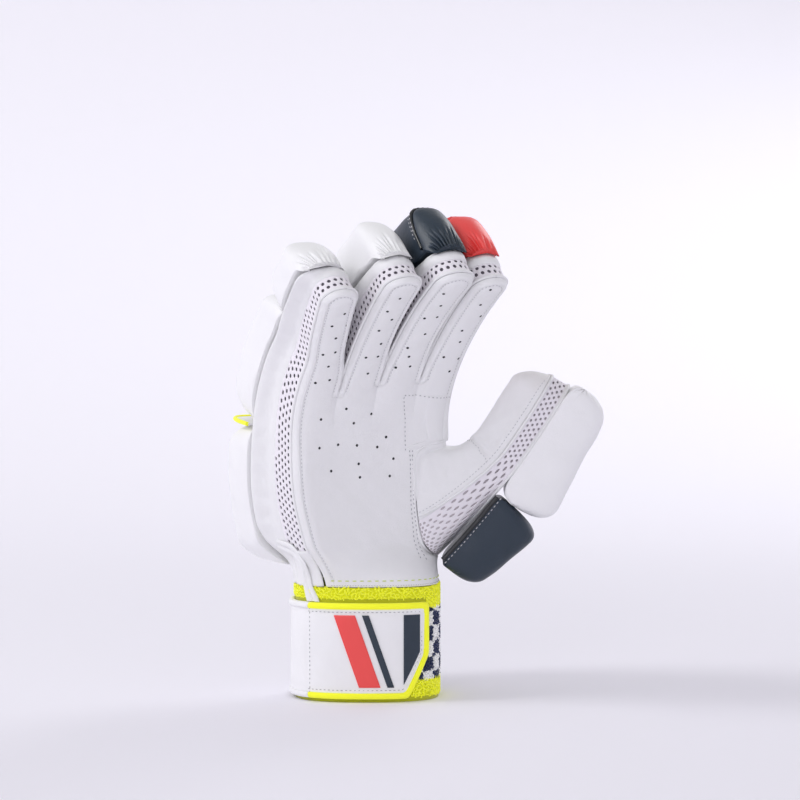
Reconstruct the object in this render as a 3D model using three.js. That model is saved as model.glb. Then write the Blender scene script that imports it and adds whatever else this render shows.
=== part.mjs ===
// Cricket batting glove for the right hand, standing on its cuff with the palm to the front.
// Millimetres. X runs across the palm from the little finger to the thumb, Y from the palm to the back, Z up.
import * as THREE from "three";
import { mergeVertices } from "three/addons/utils/BufferGeometryUtils.js";

// Cuff: an oval towelling tube that faces away from the palm by CUFF_TURN degrees
const CUFF_HEIGHT = 60;
const CUFF_WIDTH = 76;
const CUFF_DEPTH = 56;
const CUFF_SQUARENESS = 2.6;
const CUFF_WALL = 4;
const CUFF_BAND = 11;
const CUFF_TURN = 28;
const CUFF_FIT_LENGTH = 24;
const CUFF_FACETS = 32;

// Strap, round the cuff's front: lengths round the cuff from its pointed end, heights from its lower edge
const STRAP_HEIGHT = 50;
const STRAP_BASE = 2;
const STRAP_LENGTH = 150;
const STRAP_THICKNESS = 2.2;
const STRAP_CORNER_LENGTH = 12;
const STRAP_CORNER_HEIGHT = 23;
const STRAP_BINDING = 3;
const STRAP_BINDING_PROUD = 0.5;
const STRAP_TIP_ANGLE = -33.75;
const END_PANEL_LENGTH = 9;
const STRIPE_WIDE = 11;
const STRIPE_THIN = 3.5;
const STRIPE_SLANT = 13;
const STRIPE_START = 20;
const PRINT_THICKNESS = 0.7;

// Palm
const PALM_WIDTH = 92;
const PALM_LENGTH = 110;
const PALM_DEPTH = 44;
const PALM_FRONT = 20;
const PALM_CUP = 2;
const PALM_FLAT_LENGTH = 45;
const PALM_CURL = 6;
const KNUCKLE_CURL = 30;
const BACK_CURL_SHARE = 0.8;
const PALM_EDGE_DIP = 5.5;
const WRIST_LENGTH = 35;
const WRIST_LEAN = 4;
const HEEL_DIP = 12;
const HEEL_SHARE = 0.22;

// Fingers
const FINGER_LENGTH = 83;
const FINGER_WIDTH = 20.5;
const FINGER_DEPTH = 21;
const FINGER_DIP = 4.5;
const FINGER_BACK_DIP = 2.5;
const SLIT_DIP = 3;
const SLIT_SPREAD = 26;
const DEPTH_TAPER = 82;
const MESH_SHARE = 0.58;

// Sheet thicknesses, and the gap that every pair of pieces keeps
const LEATHER = 1.4;
const MESH = 1.6;
const GAP = 0.4;

// Padded rolls on the back
const TIP_ROLL_LENGTH = 42;
const TIP_ROLL_OVERHANG = 2.5;
const FINGER_ROLL_HEIGHT = 28;
const LITTLE_ROLL_OVERHANG = 7;
const ROLL_TAPER_START = 60;
const ROLL_TAPER = 110;
const HAND_ROLL_HEIGHT = 35;
const HAND_ROLL_START = 9;
const HAND_ROLL_LENGTH = 70;
const ROLL_SIDE_GAP = 0.5;
const ROLL_SEAT_GAP = 0.6;
const ROLL_BULGE = 0.5;
const ROLL_STEP = 9;
const ROLL_POWER = 3.6;
const PATCH_THICKNESS = 0.8;
const PIPING_WIDTH = 2;
const PIPING_RISE = 0.85;

// Thumb, which lies in the upright plane that the cuff faces out of
const THUMB_LENGTH = 80;
const THUMB_WIDTH = 27;
const THUMB_DEPTH = 28;
const THUMB_DIP = 17;
const THUMB_LEAN = 40;
const THUMB_CURL = 10;
const THUMB_ACROSS = 37;
const THUMB_RISE = 53;
const THUMB_BEHIND = 5;
const THUMB_ROOT_LENGTH = 34;
const THUMB_PAD_WIDTH = 31;
const TIP_PAD_LENGTH = 67;
const TIP_PAD_HEIGHT = 24;
const ROOT_PAD_LENGTH = 44;
const ROOT_PAD_HEIGHT = 24;
const PAD_MEETING_HEIGHT = 32;

// Palm outline by height: edges as shares of half the palm's width, depth as a share of the palm's
const PALM_ROWS = [
  { at: 0, left: -0.76, right: 0.74, depth: 1.15 },
  { at: 0.2, left: -0.93, right: 0.79, depth: 1.12 },
  { at: 0.45, left: -1.08, right: 0.84, depth: 1.06 },
  { at: 0.75, left: -1.13, right: 0.85, depth: 0.95 },
  { at: 1, left: -1.12, right: 0.85, depth: 0.85 },
];

// Fingers: share of the palm's width where each ends, slit height on its thumb side as a share of the palm's length,
// then length and width as shares of the named ones, sideways lean per millimetre, curl of the palm side and
// of the back in degrees, and the tip roll's height as a share
const FINGERS = [
  { name: "little", end: 0.245, slit: 0.935, length: 0.78, width: 0.96, lean: -0.17, curl: 16, back: 8, roll: 0.85 },
  { name: "ring", end: 0.49, slit: 0.99, length: 0.93, width: 1, lean: -0.02, curl: 22, back: 11, roll: 1.08 },
  { name: "middle", end: 0.75, slit: 1, length: 1, width: 1.04, lean: 0.03, curl: 26, back: 18, roll: 1.12 },
  { name: "index", end: 1, slit: 1, length: 0.93, width: 1, lean: 0.03, curl: 24, back: 18, roll: 1 },
];

// The thumb's hole in the hand, by angle round the thumb from its palm side:
// height as a share of the palm's length, x as a share of half its width, d as a share of its depth
const THUMB_HOLE = [
  { angle: -180, at: 0.125, x: 0.865, d: 0.5 },
  { angle: -150, at: 0.128, x: 0.8, d: 0.15 },
  { angle: -135, at: 0.137, x: 0.66, d: 0.03 },
  { angle: -120, at: 0.165, x: 0.56, d: 0 },
  { angle: -105, at: 0.22, x: 0.5, d: 0 },
  { angle: -88, at: 0.3, x: 0.46, d: 0 },
  { angle: -70, at: 0.42, x: 0.43, d: 0 },
  { angle: -52, at: 0.545, x: 0.41, d: 0 },
  { angle: -38, at: 0.62, x: 0.43, d: 0 },
  { angle: -25, at: 0.66, x: 0.58, d: 0.01 },
  { angle: -10, at: 0.68, x: 0.8, d: 0.05 },
  { angle: 10, at: 0.69, x: 0.865, d: 0.2 },
  { angle: 30, at: 0.69, x: 0.865, d: 0.5 },
  { angle: 48, at: 0.68, x: 0.865, d: 0.75 },
  { angle: 62, at: 0.63, x: 0.865, d: 0.86 },
  { angle: 78, at: 0.52, x: 0.865, d: 0.87 },
  { angle: 95, at: 0.4, x: 0.865, d: 0.87 },
  { angle: 112, at: 0.28, x: 0.855, d: 0.87 },
  { angle: 130, at: 0.18, x: 0.85, d: 0.87 },
  { angle: 150, at: 0.13, x: 0.85, d: 0.8 },
  { angle: 180, at: 0.125, x: 0.865, d: 0.5 },
];
const THUMB_LEATHER_ANGLES = [-88, 95];
const THUMB_GUSSET_ANGLE = 150;

const COLOURS = {
  leather: 0xe9eaec,
  mesh: 0xe6e2ea,
  navy: 0x2c3945,
  red: 0xd8362f,
  lime: 0xd6f51e,
  towel: 0xdfe1ea,
};

const radians = THREE.MathUtils.degToRad;
const mix = THREE.MathUtils.lerp;
const smooth = (x) => THREE.MathUtils.smoothstep(x, 0, 1);
const steps = (count) => Array.from({ length: count + 1 }, (_, i) => i / count);

// A column of a table, read between its rows along a smooth curve
function column(rows, key, along = "at") {
  const at = rows.map((row) => row[along]);
  const value = rows.map((row) => row[key]);
  const slope = value.map((_, i) => {
    const before = Math.max(i - 1, 0);
    const after = Math.min(i + 1, rows.length - 1);
    return (value[after] - value[before]) / (at[after] - at[before]);
  });
  return (x) => {
    if (x <= at[0]) return value[0];
    if (x >= at[at.length - 1]) return value[value.length - 1];
    const i = at.findIndex((a) => a > x) - 1;
    const span = at[i + 1] - at[i];
    const u = (x - at[i]) / span;
    const rise = (2 * u - 3) * u * u + 1;
    const fall = (u - 1) ** 2 * u * slope[i] + (u - 1) * u * u * slope[i + 1];
    return value[i] * rise + value[i + 1] * (1 - rise) + fall * span;
  };
}

// A closed mesh from points and faces that may point either way as long as they agree
function solid(points, faces) {
  let volume = 0;
  for (const [a, b, c] of faces) volume += points[a].dot(points[b].clone().cross(points[c]));
  const turned = volume < 0 ? faces.map(([a, b, c]) => [a, c, b]) : faces;
  const geometry = new THREE.BufferGeometry();
  geometry.setAttribute("position", new THREE.Float32BufferAttribute(points.flatMap((p) => p.toArray()), 3));
  geometry.setIndex(turned.flat());
  return mergeVertices(geometry, 1e-3);
}

const quad = (a, b, c, d) => [
  [a, b, c],
  [a, c, d],
];

// Walls between grids of points that face each other. Each patch holds outer and inner grids, and says from which row
// its first and last columns are free edges; above that they are shared with a neighbour.
function walls(patches) {
  const points = [];
  const faces = [];
  for (const { outer, inner, freeFirst = 0, freeLast = 0 } of patches) {
    const rows = outer.length;
    const across = outer[0].length;
    const base = points.length;
    points.push(...outer.flat(), ...inner.flat());
    const o = (i, j) => base + i * across + j;
    const n = (i, j) => base + rows * across + i * across + j;
    for (let i = 0; i + 1 < rows; i += 1) {
      for (let j = 0; j + 1 < across; j += 1) {
        faces.push(...quad(o(i, j), o(i + 1, j), o(i + 1, j + 1), o(i, j + 1)));
        faces.push(...quad(n(i, j), n(i, j + 1), n(i + 1, j + 1), n(i + 1, j)));
      }
      if (i >= freeFirst) faces.push(...quad(o(i, 0), n(i, 0), n(i + 1, 0), o(i + 1, 0)));
      const j = across - 1;
      if (i >= freeLast) faces.push(...quad(o(i, j), o(i + 1, j), n(i + 1, j), n(i, j)));
    }
    for (let j = 0; j + 1 < across; j += 1) {
      const i = rows - 1;
      faces.push(...quad(o(0, j), o(0, j + 1), n(0, j + 1), n(0, j)));
      faces.push(...quad(o(i, j), n(i, j), n(i, j + 1), o(i, j + 1)));
    }
  }
  return solid(points, faces);
}

// A sheet's other side: each point of the grid moved by the thickness away from the side that its faces point to
function thicken(grid, thickness) {
  const last = (list) => list.length - 1;
  return grid.map((row, i) =>
    row.map((point, j) => {
      const along = grid[Math.min(i + 1, last(grid))][j].clone().sub(grid[Math.max(i - 1, 0)][j]);
      const across = row[Math.min(j + 1, last(row))].clone().sub(row[Math.max(j - 1, 0)]);
      return point.clone().addScaledVector(across.cross(along).normalize(), thickness);
    }),
  );
}

// A closed body from rings of points, with flat ends
function rings(list) {
  const round = list[0].length;
  const points = list.flat();
  const faces = [];
  for (let i = 0; i + 1 < list.length; i += 1) {
    for (let j = 0; j < round; j += 1) {
      const k = (j + 1) % round;
      faces.push(...quad(i * round + j, i * round + k, (i + 1) * round + k, (i + 1) * round + j));
    }
  }
  const centre = (ring) => ring.reduce((sum, p) => sum.add(p), new THREE.Vector3()).divideScalar(round);
  const top = (list.length - 1) * round;
  points.push(centre(list[0]), centre(list[list.length - 1]));
  for (let j = 0; j < round; j += 1) {
    const k = (j + 1) % round;
    faces.push([k, j, points.length - 2], [top + j, top + k, points.length - 1]);
  }
  return solid(points, faces);
}

const glove = new THREE.Group();
function add(name, geometry, colour, roughness = 0.6) {
  const material = new THREE.MeshStandardMaterial({ color: COLOURS[colour], roughness, metalness: 0 });
  const mesh = new THREE.Mesh(geometry, material);
  mesh.name = name;
  glove.add(mesh);
}

// The cuff's oval, at an angle from its own X axis and a distance out from its skin
function ovalRadius(angle) {
  const x = Math.abs(Math.cos(angle) / (CUFF_WIDTH / 2)) ** CUFF_SQUARENESS;
  const y = Math.abs(Math.sin(angle) / (CUFF_DEPTH / 2)) ** CUFF_SQUARENESS;
  return (x + y) ** (-1 / CUFF_SQUARENESS);
}
function onCuff(degrees, height, out) {
  const angle = radians(degrees);
  const radius = ovalRadius(angle) + out;
  const turned = angle - radians(CUFF_TURN);
  return new THREE.Vector3(radius * Math.cos(turned), radius * Math.sin(turned), height);
}

// Hand space: x across, s up from the cuff, d back from the palm's skin. The spine leans, then curls forwards.
const finger = (index) => {
  const row = FINGERS[index];
  const length = FINGER_LENGTH * row.length;
  return { ...row, length, tip: PALM_LENGTH + length, half: (FINGER_WIDTH * row.width) / 2 };
};
function spine(s, index) {
  const { length, curl } = finger(index);
  const arcs = [
    { length: WRIST_LENGTH, turn: WRIST_LEAN },
    { length: PALM_FLAT_LENGTH, turn: PALM_CURL },
    { length: PALM_LENGTH - WRIST_LENGTH - PALM_FLAT_LENGTH, turn: KNUCKLE_CURL },
    { length, turn: curl },
  ];
  let [y, z, tilt, left] = [-PALM_FRONT, CUFF_HEIGHT + GAP, radians(-WRIST_LEAN), s];
  arcs.forEach((arc, i) => {
    const run = i === arcs.length - 1 ? left : Math.min(left, arc.length);
    const bend = radians(arc.turn) / arc.length;
    const next = tilt + bend * run;
    y += (Math.cos(next) - Math.cos(tilt)) / bend;
    z += (Math.sin(next) - Math.sin(tilt)) / bend;
    tilt = next;
    left -= run;
  });
  const past = Math.max(s - PALM_LENGTH, 0) / length;
  const back = (tilt - radians(curl) * past) * BACK_CURL_SHARE + radians(finger(index).back) * past;
  return { y, z, back };
}

// A point of hand space in the glove. Near the cuff it moves to the cuff's oval, out from that by its own distance
// from the glove's skin.
function inHand(x, s, d, out, index = 0) {
  const { y, z, back } = spine(s, index);
  const point = new THREE.Vector3(x, y + d * Math.cos(back), z + d * Math.sin(back));
  if (s >= CUFF_FIT_LENGTH) return point;
  const turned = THREE.MathUtils.radToDeg(Math.atan2(point.y, point.x)) + CUFF_TURN;
  return onCuff(turned, CUFF_HEIGHT + GAP + s, out).lerp(point, smooth(s / CUFF_FIT_LENGTH));
}

// Edges of the palm and the fingers in hand space
const halfPalm = PALM_WIDTH / 2;
const palmLeft = column(PALM_ROWS, "left");
const palmRight = column(PALM_ROWS, "right");
const palmDepth = column(PALM_ROWS, "depth");
const holeRows = THUMB_HOLE.filter((row) => row.angle >= -150 && row.angle <= -10);
const holeX = column(holeRows, "x");
const holeTop = holeRows[holeRows.length - 1].at;
const holeBottom = holeRows[0].at;

// The palm leather's thumb side keeps clear of the thumb's hole, the back leather's does not
function handEdge(share, s, front) {
  const right = palmRight(s / PALM_LENGTH) * halfPalm;
  const clear = [s - GAP, s + GAP].map((near) => near / PALM_LENGTH);
  const hole = Math.min(...clear.map((at) => (at > holeBottom && at < holeTop ? holeX(at) * halfPalm - GAP : right)));
  return mix(palmLeft(s / PALM_LENGTH) * halfPalm, front ? Math.min(right, hole) : right, share);
}
const slitOf = (border) => PALM_LENGTH * (border < 0 ? 1 : FINGERS[border].slit);
function fingerEdge(index, side, s, front) {
  const border = side < 0 ? index - 1 : index;
  const share = border < 0 ? 0 : FINGERS[border].end;
  const slit = slitOf(border);
  const inPalm = handEdge(share, Math.min(s, slit), front);
  if (s <= slit) return inPalm;
  const { start, end, lean, half } = { start: index ? FINGERS[index - 1].end : 0, ...finger(index) };
  const middle = handEdge((start + end) / 2, PALM_LENGTH, front) + lean * (s - PALM_LENGTH);
  return mix(inPalm, middle + side * half, smooth((s - slit) / SLIT_SPREAD));
}
function handDepth(s) {
  const palm = palmDepth(s / PALM_LENGTH) * PALM_DEPTH;
  return mix(palm, FINGER_DEPTH, Math.min(Math.max((s - PALM_LENGTH) / DEPTH_TAPER, 0), 1));
}

// How far the front sheet falls back from a finger's middle to its edge
function edgeDip(index, side, s) {
  const border = side < 0 ? index - 1 : index;
  const slit = slitOf(border);
  if (side < 0 ? index > 0 : index < FINGERS.length - 1) {
    const valley = SLIT_DIP * smooth((s - slit) / SLIT_SPREAD + 1);
    return s <= slit ? valley : mix(SLIT_DIP, FINGER_DIP, smooth((s - slit) / SLIT_SPREAD));
  }
  const outer = mix(PALM_EDGE_DIP, FINGER_DIP, smooth((s - slit) / SLIT_SPREAD));
  if (side < 0) return outer;
  const at = s / PALM_LENGTH;
  if (at > holeTop) return outer * smooth((at - holeTop) / (1 - holeTop) + 0.5);
  return HEEL_DIP * (1 - smooth(at / HEEL_SHARE));
}

const DIP_POWER = 2.4;
const TIP_DIP_POWER = 3;
const MOST_SLANT = 1.8;
const PALM_HEIGHTS = [0, 0.065, 0.128, 0.165, 0.22, 0.3, 0.42, 0.545, 0.62, 0.66, 0.68, 0.7, 0.82, 0.91, 1];
const FINGER_STRETCHES = [0.15, 0.4, 0.7, 1];
const TIP_ANGLES = [32, 62, 86];
const ACROSS = [-1, -0.72, 0, 0.72, 1];

// Rows of one finger's sheet, from the cuff to the tip: its height at each edge, and how far round the tip it is
function sheetRows(index) {
  const { tip, half } = finger(index);
  const slits = [slitOf(index - 1), slitOf(index)];
  const palm = PALM_HEIGHTS.map((at) => ({ heights: slits.map((slit) => at * (at < 0.8 ? PALM_LENGTH : slit)), turn: 0 }));
  const straight = FINGER_STRETCHES.map((g) => ({ heights: slits.map((slit) => mix(slit, tip - half, g)), turn: 0 }));
  const round = TIP_ANGLES.map((turn) => ({ heights: [tip - half, tip - half], turn: radians(turn) }));
  return [...palm, ...straight, ...round];
}

// A point of a finger's sheet at t across it, in hand space without its depth
function sheetPoint(index, row, t, front) {
  const { half } = finger(index);
  const level = mix(row.heights[0], row.heights[1], (t + 1) / 2);
  const left = fingerEdge(index, -1, t < 0 ? row.heights[0] : level, front);
  const right = fingerEdge(index, 1, t > 0 ? row.heights[1] : level, front);
  const middle = (left + right) / 2;
  const x = mix(left, right, (t + 1) / 2);
  return { x: mix(middle, x, Math.cos(row.turn)), s: level + half * Math.sin(row.turn), level };
}

function frontPoint(index, row, t, deep) {
  const { x, s, level } = sheetPoint(index, row, t, true);
  const dip = edgeDip(index, Math.sign(t) || 1, level);
  const fall = Math.abs(t) ** DIP_POWER;
  const end = Math.sin(row.turn) ** TIP_DIP_POWER;
  const across = x / halfPalm;
  const cup = PALM_CUP * Math.sin(Math.PI * Math.min(s / PALM_LENGTH, 1)) * Math.max(1 - across ** 2, 0);
  const slope = (dip * DIP_POWER * Math.abs(t) ** (DIP_POWER - 1)) / (FINGER_WIDTH / 2);
  const slant = Math.min(Math.hypot(1, slope), MOST_SLANT);
  return inHand(x, s, dip * (fall + (1 - fall) * end) + cup + deep * slant, -deep, index);
}
const frontSheet = (index, deep) => sheetRows(index).map((row) => ACROSS.map((t) => frontPoint(index, row, t, deep)));

function backSheet(index, deep) {
  return sheetRows(index).map((row) =>
    ACROSS.map((t) => {
      const { x, s, level } = sheetPoint(index, row, t, false);
      const outerEdge = (t < 0 && index === 0) || (t > 0 && index === FINGERS.length - 1);
      const slit = slitOf(t < 0 ? index - 1 : index);
      const dip = outerEdge ? FINGER_BACK_DIP : FINGER_BACK_DIP * smooth((level - slit) / SLIT_SPREAD + 1);
      const fall = Math.abs(t) ** DIP_POWER;
      const end = Math.sin(row.turn) ** TIP_DIP_POWER;
      return inHand(x, s, handDepth(level) - dip * (fall + (1 - fall) * end) - deep, -deep, index);
    }),
  );
}

function handSheet(sheet) {
  const free = PALM_HEIGHTS.length - 1;
  return walls(
    FINGERS.map((_, index) => ({
      outer: sheet(index, 0),
      inner: sheet(index, LEATHER),
      freeFirst: index === 0 ? 0 : free,
      freeLast: index === FINGERS.length - 1 ? 0 : free,
    })),
  );
}

// The path of a finger's side wall in hand space: up its little-finger side from one height, round the tip and down
// its thumb side to the other height. An inner side starts at its slit.
const tipRows = (index) => sheetRows(index).slice(PALM_HEIGHTS.length - 1);
const palmRows = (low, high) => {
  const between = PALM_HEIGHTS.filter((at) => at > low + 0.01 && at < high - 0.01);
  return [low, ...between, high].map((at) => ({ heights: [at * PALM_LENGTH, at * PALM_LENGTH], turn: 0 }));
};
function sidePath(index, t, rows) {
  return rows.map((row) => {
    const { x, s, level } = sheetPoint(index, row, t, false);
    return { x, s, level, dip: edgeDip(index, t, level) };
  });
}
function fingerPath(index, lowest) {
  const start = index === 0 ? palmRows(lowest[0], slitOf(-1) / PALM_LENGTH).slice(0, -1) : [];
  const end = index === FINGERS.length - 1 ? palmRows(lowest[1], 1).slice(0, -1) : [];
  const rows = tipRows(index);
  return [...sidePath(index, -1, [...start, ...rows]), ...sidePath(index, 1, [...end, ...rows]).reverse()];
}

// A band along a path of the hand's side between two shares of the space from the front sheet to the back sheet
function band(index, path, from, to, thickness) {
  const edge = (deep, share) =>
    path.map((p, i) => {
      const before = path[Math.max(i - 1, 0)];
      const after = path[Math.min(i + 1, path.length - 1)];
      const [dx, ds] = [after.x - before.x, after.s - before.s];
      const length = Math.hypot(dx, ds);
      const wrist = LEATHER * (1 - smooth(p.level / CUFF_FIT_LENGTH));
      const front = p.dip + LEATHER * MOST_SLANT + GAP * 2 + wrist;
      const back = handDepth(p.level) - FINGER_BACK_DIP - LEATHER - GAP - wrist;
      const d = mix(front, back, share);
      return inHand(p.x + (deep * ds) / length, p.s - (deep * dx) / length, d, -deep, index);
    });
  return walls([
    {
      outer: [from, to].map((share) => edge(0, share)),
      inner: [from, to].map((share) => edge(thickness, share)),
    },
  ]);
}

// A padded roll on a seat: place(x, s, h) gives the point at x across, s along and h above the seat
const ROLL_ARCH = [1, 0.85, 0.5, 0, -0.5, -0.85, -1];
function roll({ from, to, half, height, power = 2.4, endLength, endPower = 2.2, least = 0.35, place }) {
  const length = to - from;
  const ends = [0, 0.3, 1].map((share) => (share * endLength) / length);
  const inner = steps(Math.max(Math.round((length - 2 * endLength) / ROLL_STEP), 1));
  const rows = [...ends.slice(0, 2), ...inner.map((x) => mix(ends[2], 1 - ends[2], x)), 1 - ends[1], 1];
  return rings(
    rows.map((share) => {
      const s = mix(from, to, share);
      const end = Math.max(1 - Math.min(s - from, to - s) / endLength, 0);
      const full = mix(least, 1, (1 - end ** endPower) ** (1 / endPower));
      const arch = ROLL_ARCH.map((t) => [t, Math.max((1 - Math.abs(t) ** power) ** (1 / power), 0.12)]);
      const seat = [-0.6, 0, 0.6].map((t) => [t, 0]);
      return [...arch, ...seat].map(([t, h]) => place(t * half(s) * full, s, h * height(s) * full));
    }),
  );
}

// Where a finger's rolls start and end across the back
function rollEdge(index, side, s) {
  const outer = side < 0 && index === 0;
  const past = smooth((s - PALM_LENGTH) / SLIT_SPREAD);
  const room = outer ? LITTLE_ROLL_OVERHANG : mix(-ROLL_SIDE_GAP, ROLL_BULGE, past);
  return fingerEdge(index, side, s, false) + side * room;
}
function rollHeight(index, s) {
  const share = smooth((s - ROLL_TAPER_START) / ROLL_TAPER);
  return mix(HAND_ROLL_HEIGHT, FINGER_ROLL_HEIGHT * FINGERS[index].roll, share);
}
function onRollSeat(index, x, s, h) {
  const flat = Math.min(s, finger(index).tip - finger(index).half);
  const middle = (rollEdge(index, -1, flat) + rollEdge(index, 1, flat)) / 2;
  return inHand(middle + x, s, handDepth(flat) + ROLL_SEAT_GAP + h, ROLL_SEAT_GAP + h, index);
}
const rollHalf = (index, s) => (rollEdge(index, 1, s) - rollEdge(index, -1, s)) / 2;
function fingerRoll(index, from, to) {
  return roll({
    from,
    to,
    half: (s) => rollHalf(index, s),
    height: (s) => rollHeight(index, s),
    power: ROLL_POWER,
    endLength: FINGER_WIDTH / 2,
    place: (x, s, h) => onRollSeat(index, x, s, h),
  });
}

// The piping stands between two rows of rolls, with an arch for each finger
function piping(low, high) {
  const arches = FINGERS.flatMap((_, index) =>
    [-0.9, -0.5, 0, 0.5, 0.9].map((t) => ({ index, t, h: (1 - Math.abs(t) ** ROLL_POWER) ** (1 / ROLL_POWER) })),
  );
  const layer = (s) =>
    [0, 1].map((top) =>
      arches.map(({ index, t, h }) => onRollSeat(index, t * rollHalf(index, s), s, top * h * PIPING_RISE * rollHeight(index, s))),
    );
  return walls([{ outer: layer(low), inner: layer(high) }]);
}

// A plate on the palm leather over part of its grid: each place is a finger and how far across it
function patch(places, rows) {
  const layer = (deep) => rows.map((row) => places.map(([index, t]) => frontPoint(index, row, t, deep)));
  return walls([{ outer: layer(-GAP - PATCH_THICKNESS), inner: layer(-GAP) }]);
}

// Thumb space: a along the thumb, b back from its palm side, c across it, away from the viewer of the cuff's front
const facing = radians(CUFF_TURN);
const outwards = new THREE.Vector3(Math.cos(facing), -Math.sin(facing), 0);
const behind = new THREE.Vector3(Math.sin(facing), Math.cos(facing), 0);
function inThumb(a, b, c) {
  const start = radians(THUMB_LEAN);
  const bend = -radians(THUMB_CURL) / THUMB_LENGTH;
  const lean = start + bend * a;
  const across = THUMB_ACROSS + (Math.cos(start) - Math.cos(lean)) / bend + b * Math.cos(lean);
  const rise = CUFF_HEIGHT + THUMB_RISE + (Math.sin(lean) - Math.sin(start)) / bend - b * Math.sin(lean);
  return new THREE.Vector3(0, 0, rise).addScaledVector(outwards, across).addScaledVector(behind, THUMB_BEHIND + c);
}

const hole = Object.fromEntries(["at", "x", "d"].map((key) => [key, column(THUMB_HOLE, key, "angle")]));
function onHole(angle) {
  const s = hole.at(angle) * PALM_LENGTH;
  return inHand(hole.x(angle) * halfPalm, s, hole.d(angle) * handDepth(s) + GAP, 0);
}

// A point of the thumb's stall, drawn in to the hole in the hand at its root
function onThumb(a, b, c, angle) {
  return onHole(angle).lerp(inThumb(a, b, c), smooth(a / THUMB_ROOT_LENGTH));
}

const thumbHalf = THUMB_WIDTH / 2;
const thumbStraight = THUMB_LENGTH - thumbHalf;
const THUMB_ROWS = [
  ...[0, 0.15, 0.32, 0.5, 0.7, 1].map((share) => ({ a: share * thumbStraight, turn: 0 })),
  ...[28, 52, 72, 86].map((turn) => ({ a: thumbStraight, turn: radians(turn) })),
];

const holeAngles = (low, high) => THUMB_HOLE.map((row) => row.angle).filter((angle) => angle >= low && angle <= high);
const thumbPoint = ({ a, turn }, b, t, angle) =>
  onThumb(a + thumbHalf * Math.sin(turn), b, t * thumbHalf * Math.cos(turn), angle);

function thumbLeather() {
  const [near, far] = THUMB_LEATHER_ANGLES;
  const outer = THUMB_ROWS.map((row) =>
    holeAngles(near, far).map((angle) => {
      const t = ((angle - near) / (far - near)) * 2 - 1;
      const fall = Math.abs(t) ** DIP_POWER;
      const b = THUMB_DIP * (fall + (1 - fall) * Math.sin(row.turn) ** TIP_DIP_POWER);
      return thumbPoint(row, b, t, angle);
    }),
  );
  return walls([{ outer, inner: thicken(outer, LEATHER) }]);
}

function thumbGusset() {
  const [near, far] = THUMB_LEATHER_ANGLES;
  const path = [
    ...THUMB_ROWS.map((row) => ({ row, side: -1 })),
    ...[...THUMB_ROWS].reverse().map((row) => ({ row, side: 1 })),
  ];
  const low = THUMB_DIP + GAP * 3;
  const high = THUMB_DEPTH - LEATHER - GAP * 2;
  const outer = steps(4).map((share) =>
    path.map(({ row, side }) => {
      const angle = side < 0 ? mix(near - 2, -THUMB_GUSSET_ANGLE, share) : mix(far + 2, THUMB_GUSSET_ANGLE, share);
      return thumbPoint(row, mix(low, high, share), side, angle);
    }),
  );
  return walls([{ outer, inner: thicken(outer, MESH) }]);
}

function thumbBacking() {
  const outer = THUMB_ROWS.map((row) =>
    steps(4).map((share) => {
      const around = mix(THUMB_GUSSET_ANGLE + 4, 360 - THUMB_GUSSET_ANGLE - 4, share);
      return thumbPoint(row, THUMB_DEPTH, 1 - share * 2, around > 180 ? around - 360 : around);
    }),
  );
  return walls([{ outer, inner: thicken(outer, LEATHER) }]);
}

function thumbPad(from, length, heights) {
  return roll({
    from,
    to: from + length,
    half: () => THUMB_PAD_WIDTH / 2,
    height: (a) => mix(heights[0], heights[1], (a - from) / length),
    power: 3.2,
    endLength: THUMB_WIDTH / 3,
    endPower: 2.6,
    least: 0.5,
    place: (x, a, h) => inThumb(a, THUMB_DEPTH + GAP + h, x),
  });
}

// A stretch of wall round the cuff, or all of it
function cuffRing(low, high, thickness) {
  const count = CUFF_FACETS;
  const at = (height, out) => steps(count).slice(1).map((share) => onCuff(share * 360, height, out));
  const list = [at(low, 0), at(high, 0), at(high, -thickness), at(low, -thickness)];
  const points = list.flat();
  const faces = [];
  list.forEach((_, i) => {
    const next = (i + 1) % list.length;
    for (let j = 0; j < count; j += 1) {
      const k = (j + 1) % count;
      faces.push(...quad(i * count + j, i * count + k, next * count + k, next * count + j));
    }
  });
  return solid(points, faces);
}
// Strap space: w round the cuff from the strap's pointed end, h up from its lower edge, both laid on the cuff's skin
const CUFF_STEP = 2;
const roundCuff = [{ at: 0, degrees: STRAP_TIP_ANGLE }];
for (let degrees = STRAP_TIP_ANGLE; degrees > STRAP_TIP_ANGLE - 360; degrees -= CUFF_STEP) {
  const run = onCuff(degrees, 0, STRAP_THICKNESS).distanceTo(onCuff(degrees - CUFF_STEP, 0, STRAP_THICKNESS));
  roundCuff.push({ at: roundCuff[roundCuff.length - 1].at + run, degrees: degrees - CUFF_STEP });
}
const cuffAngle = column(roundCuff, "degrees");
const onStrap = (w, h, out) => onCuff(cuffAngle(w), STRAP_BASE + h, GAP + out);

// A plate on the strap over a grid of [w, h]
function plate(grid, out, thickness) {
  const layer = (offset) => grid.map((line) => line.map(([w, h]) => onStrap(w, h, offset)));
  return walls([{ outer: layer(out + thickness), inner: layer(out) }]);
}

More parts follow.
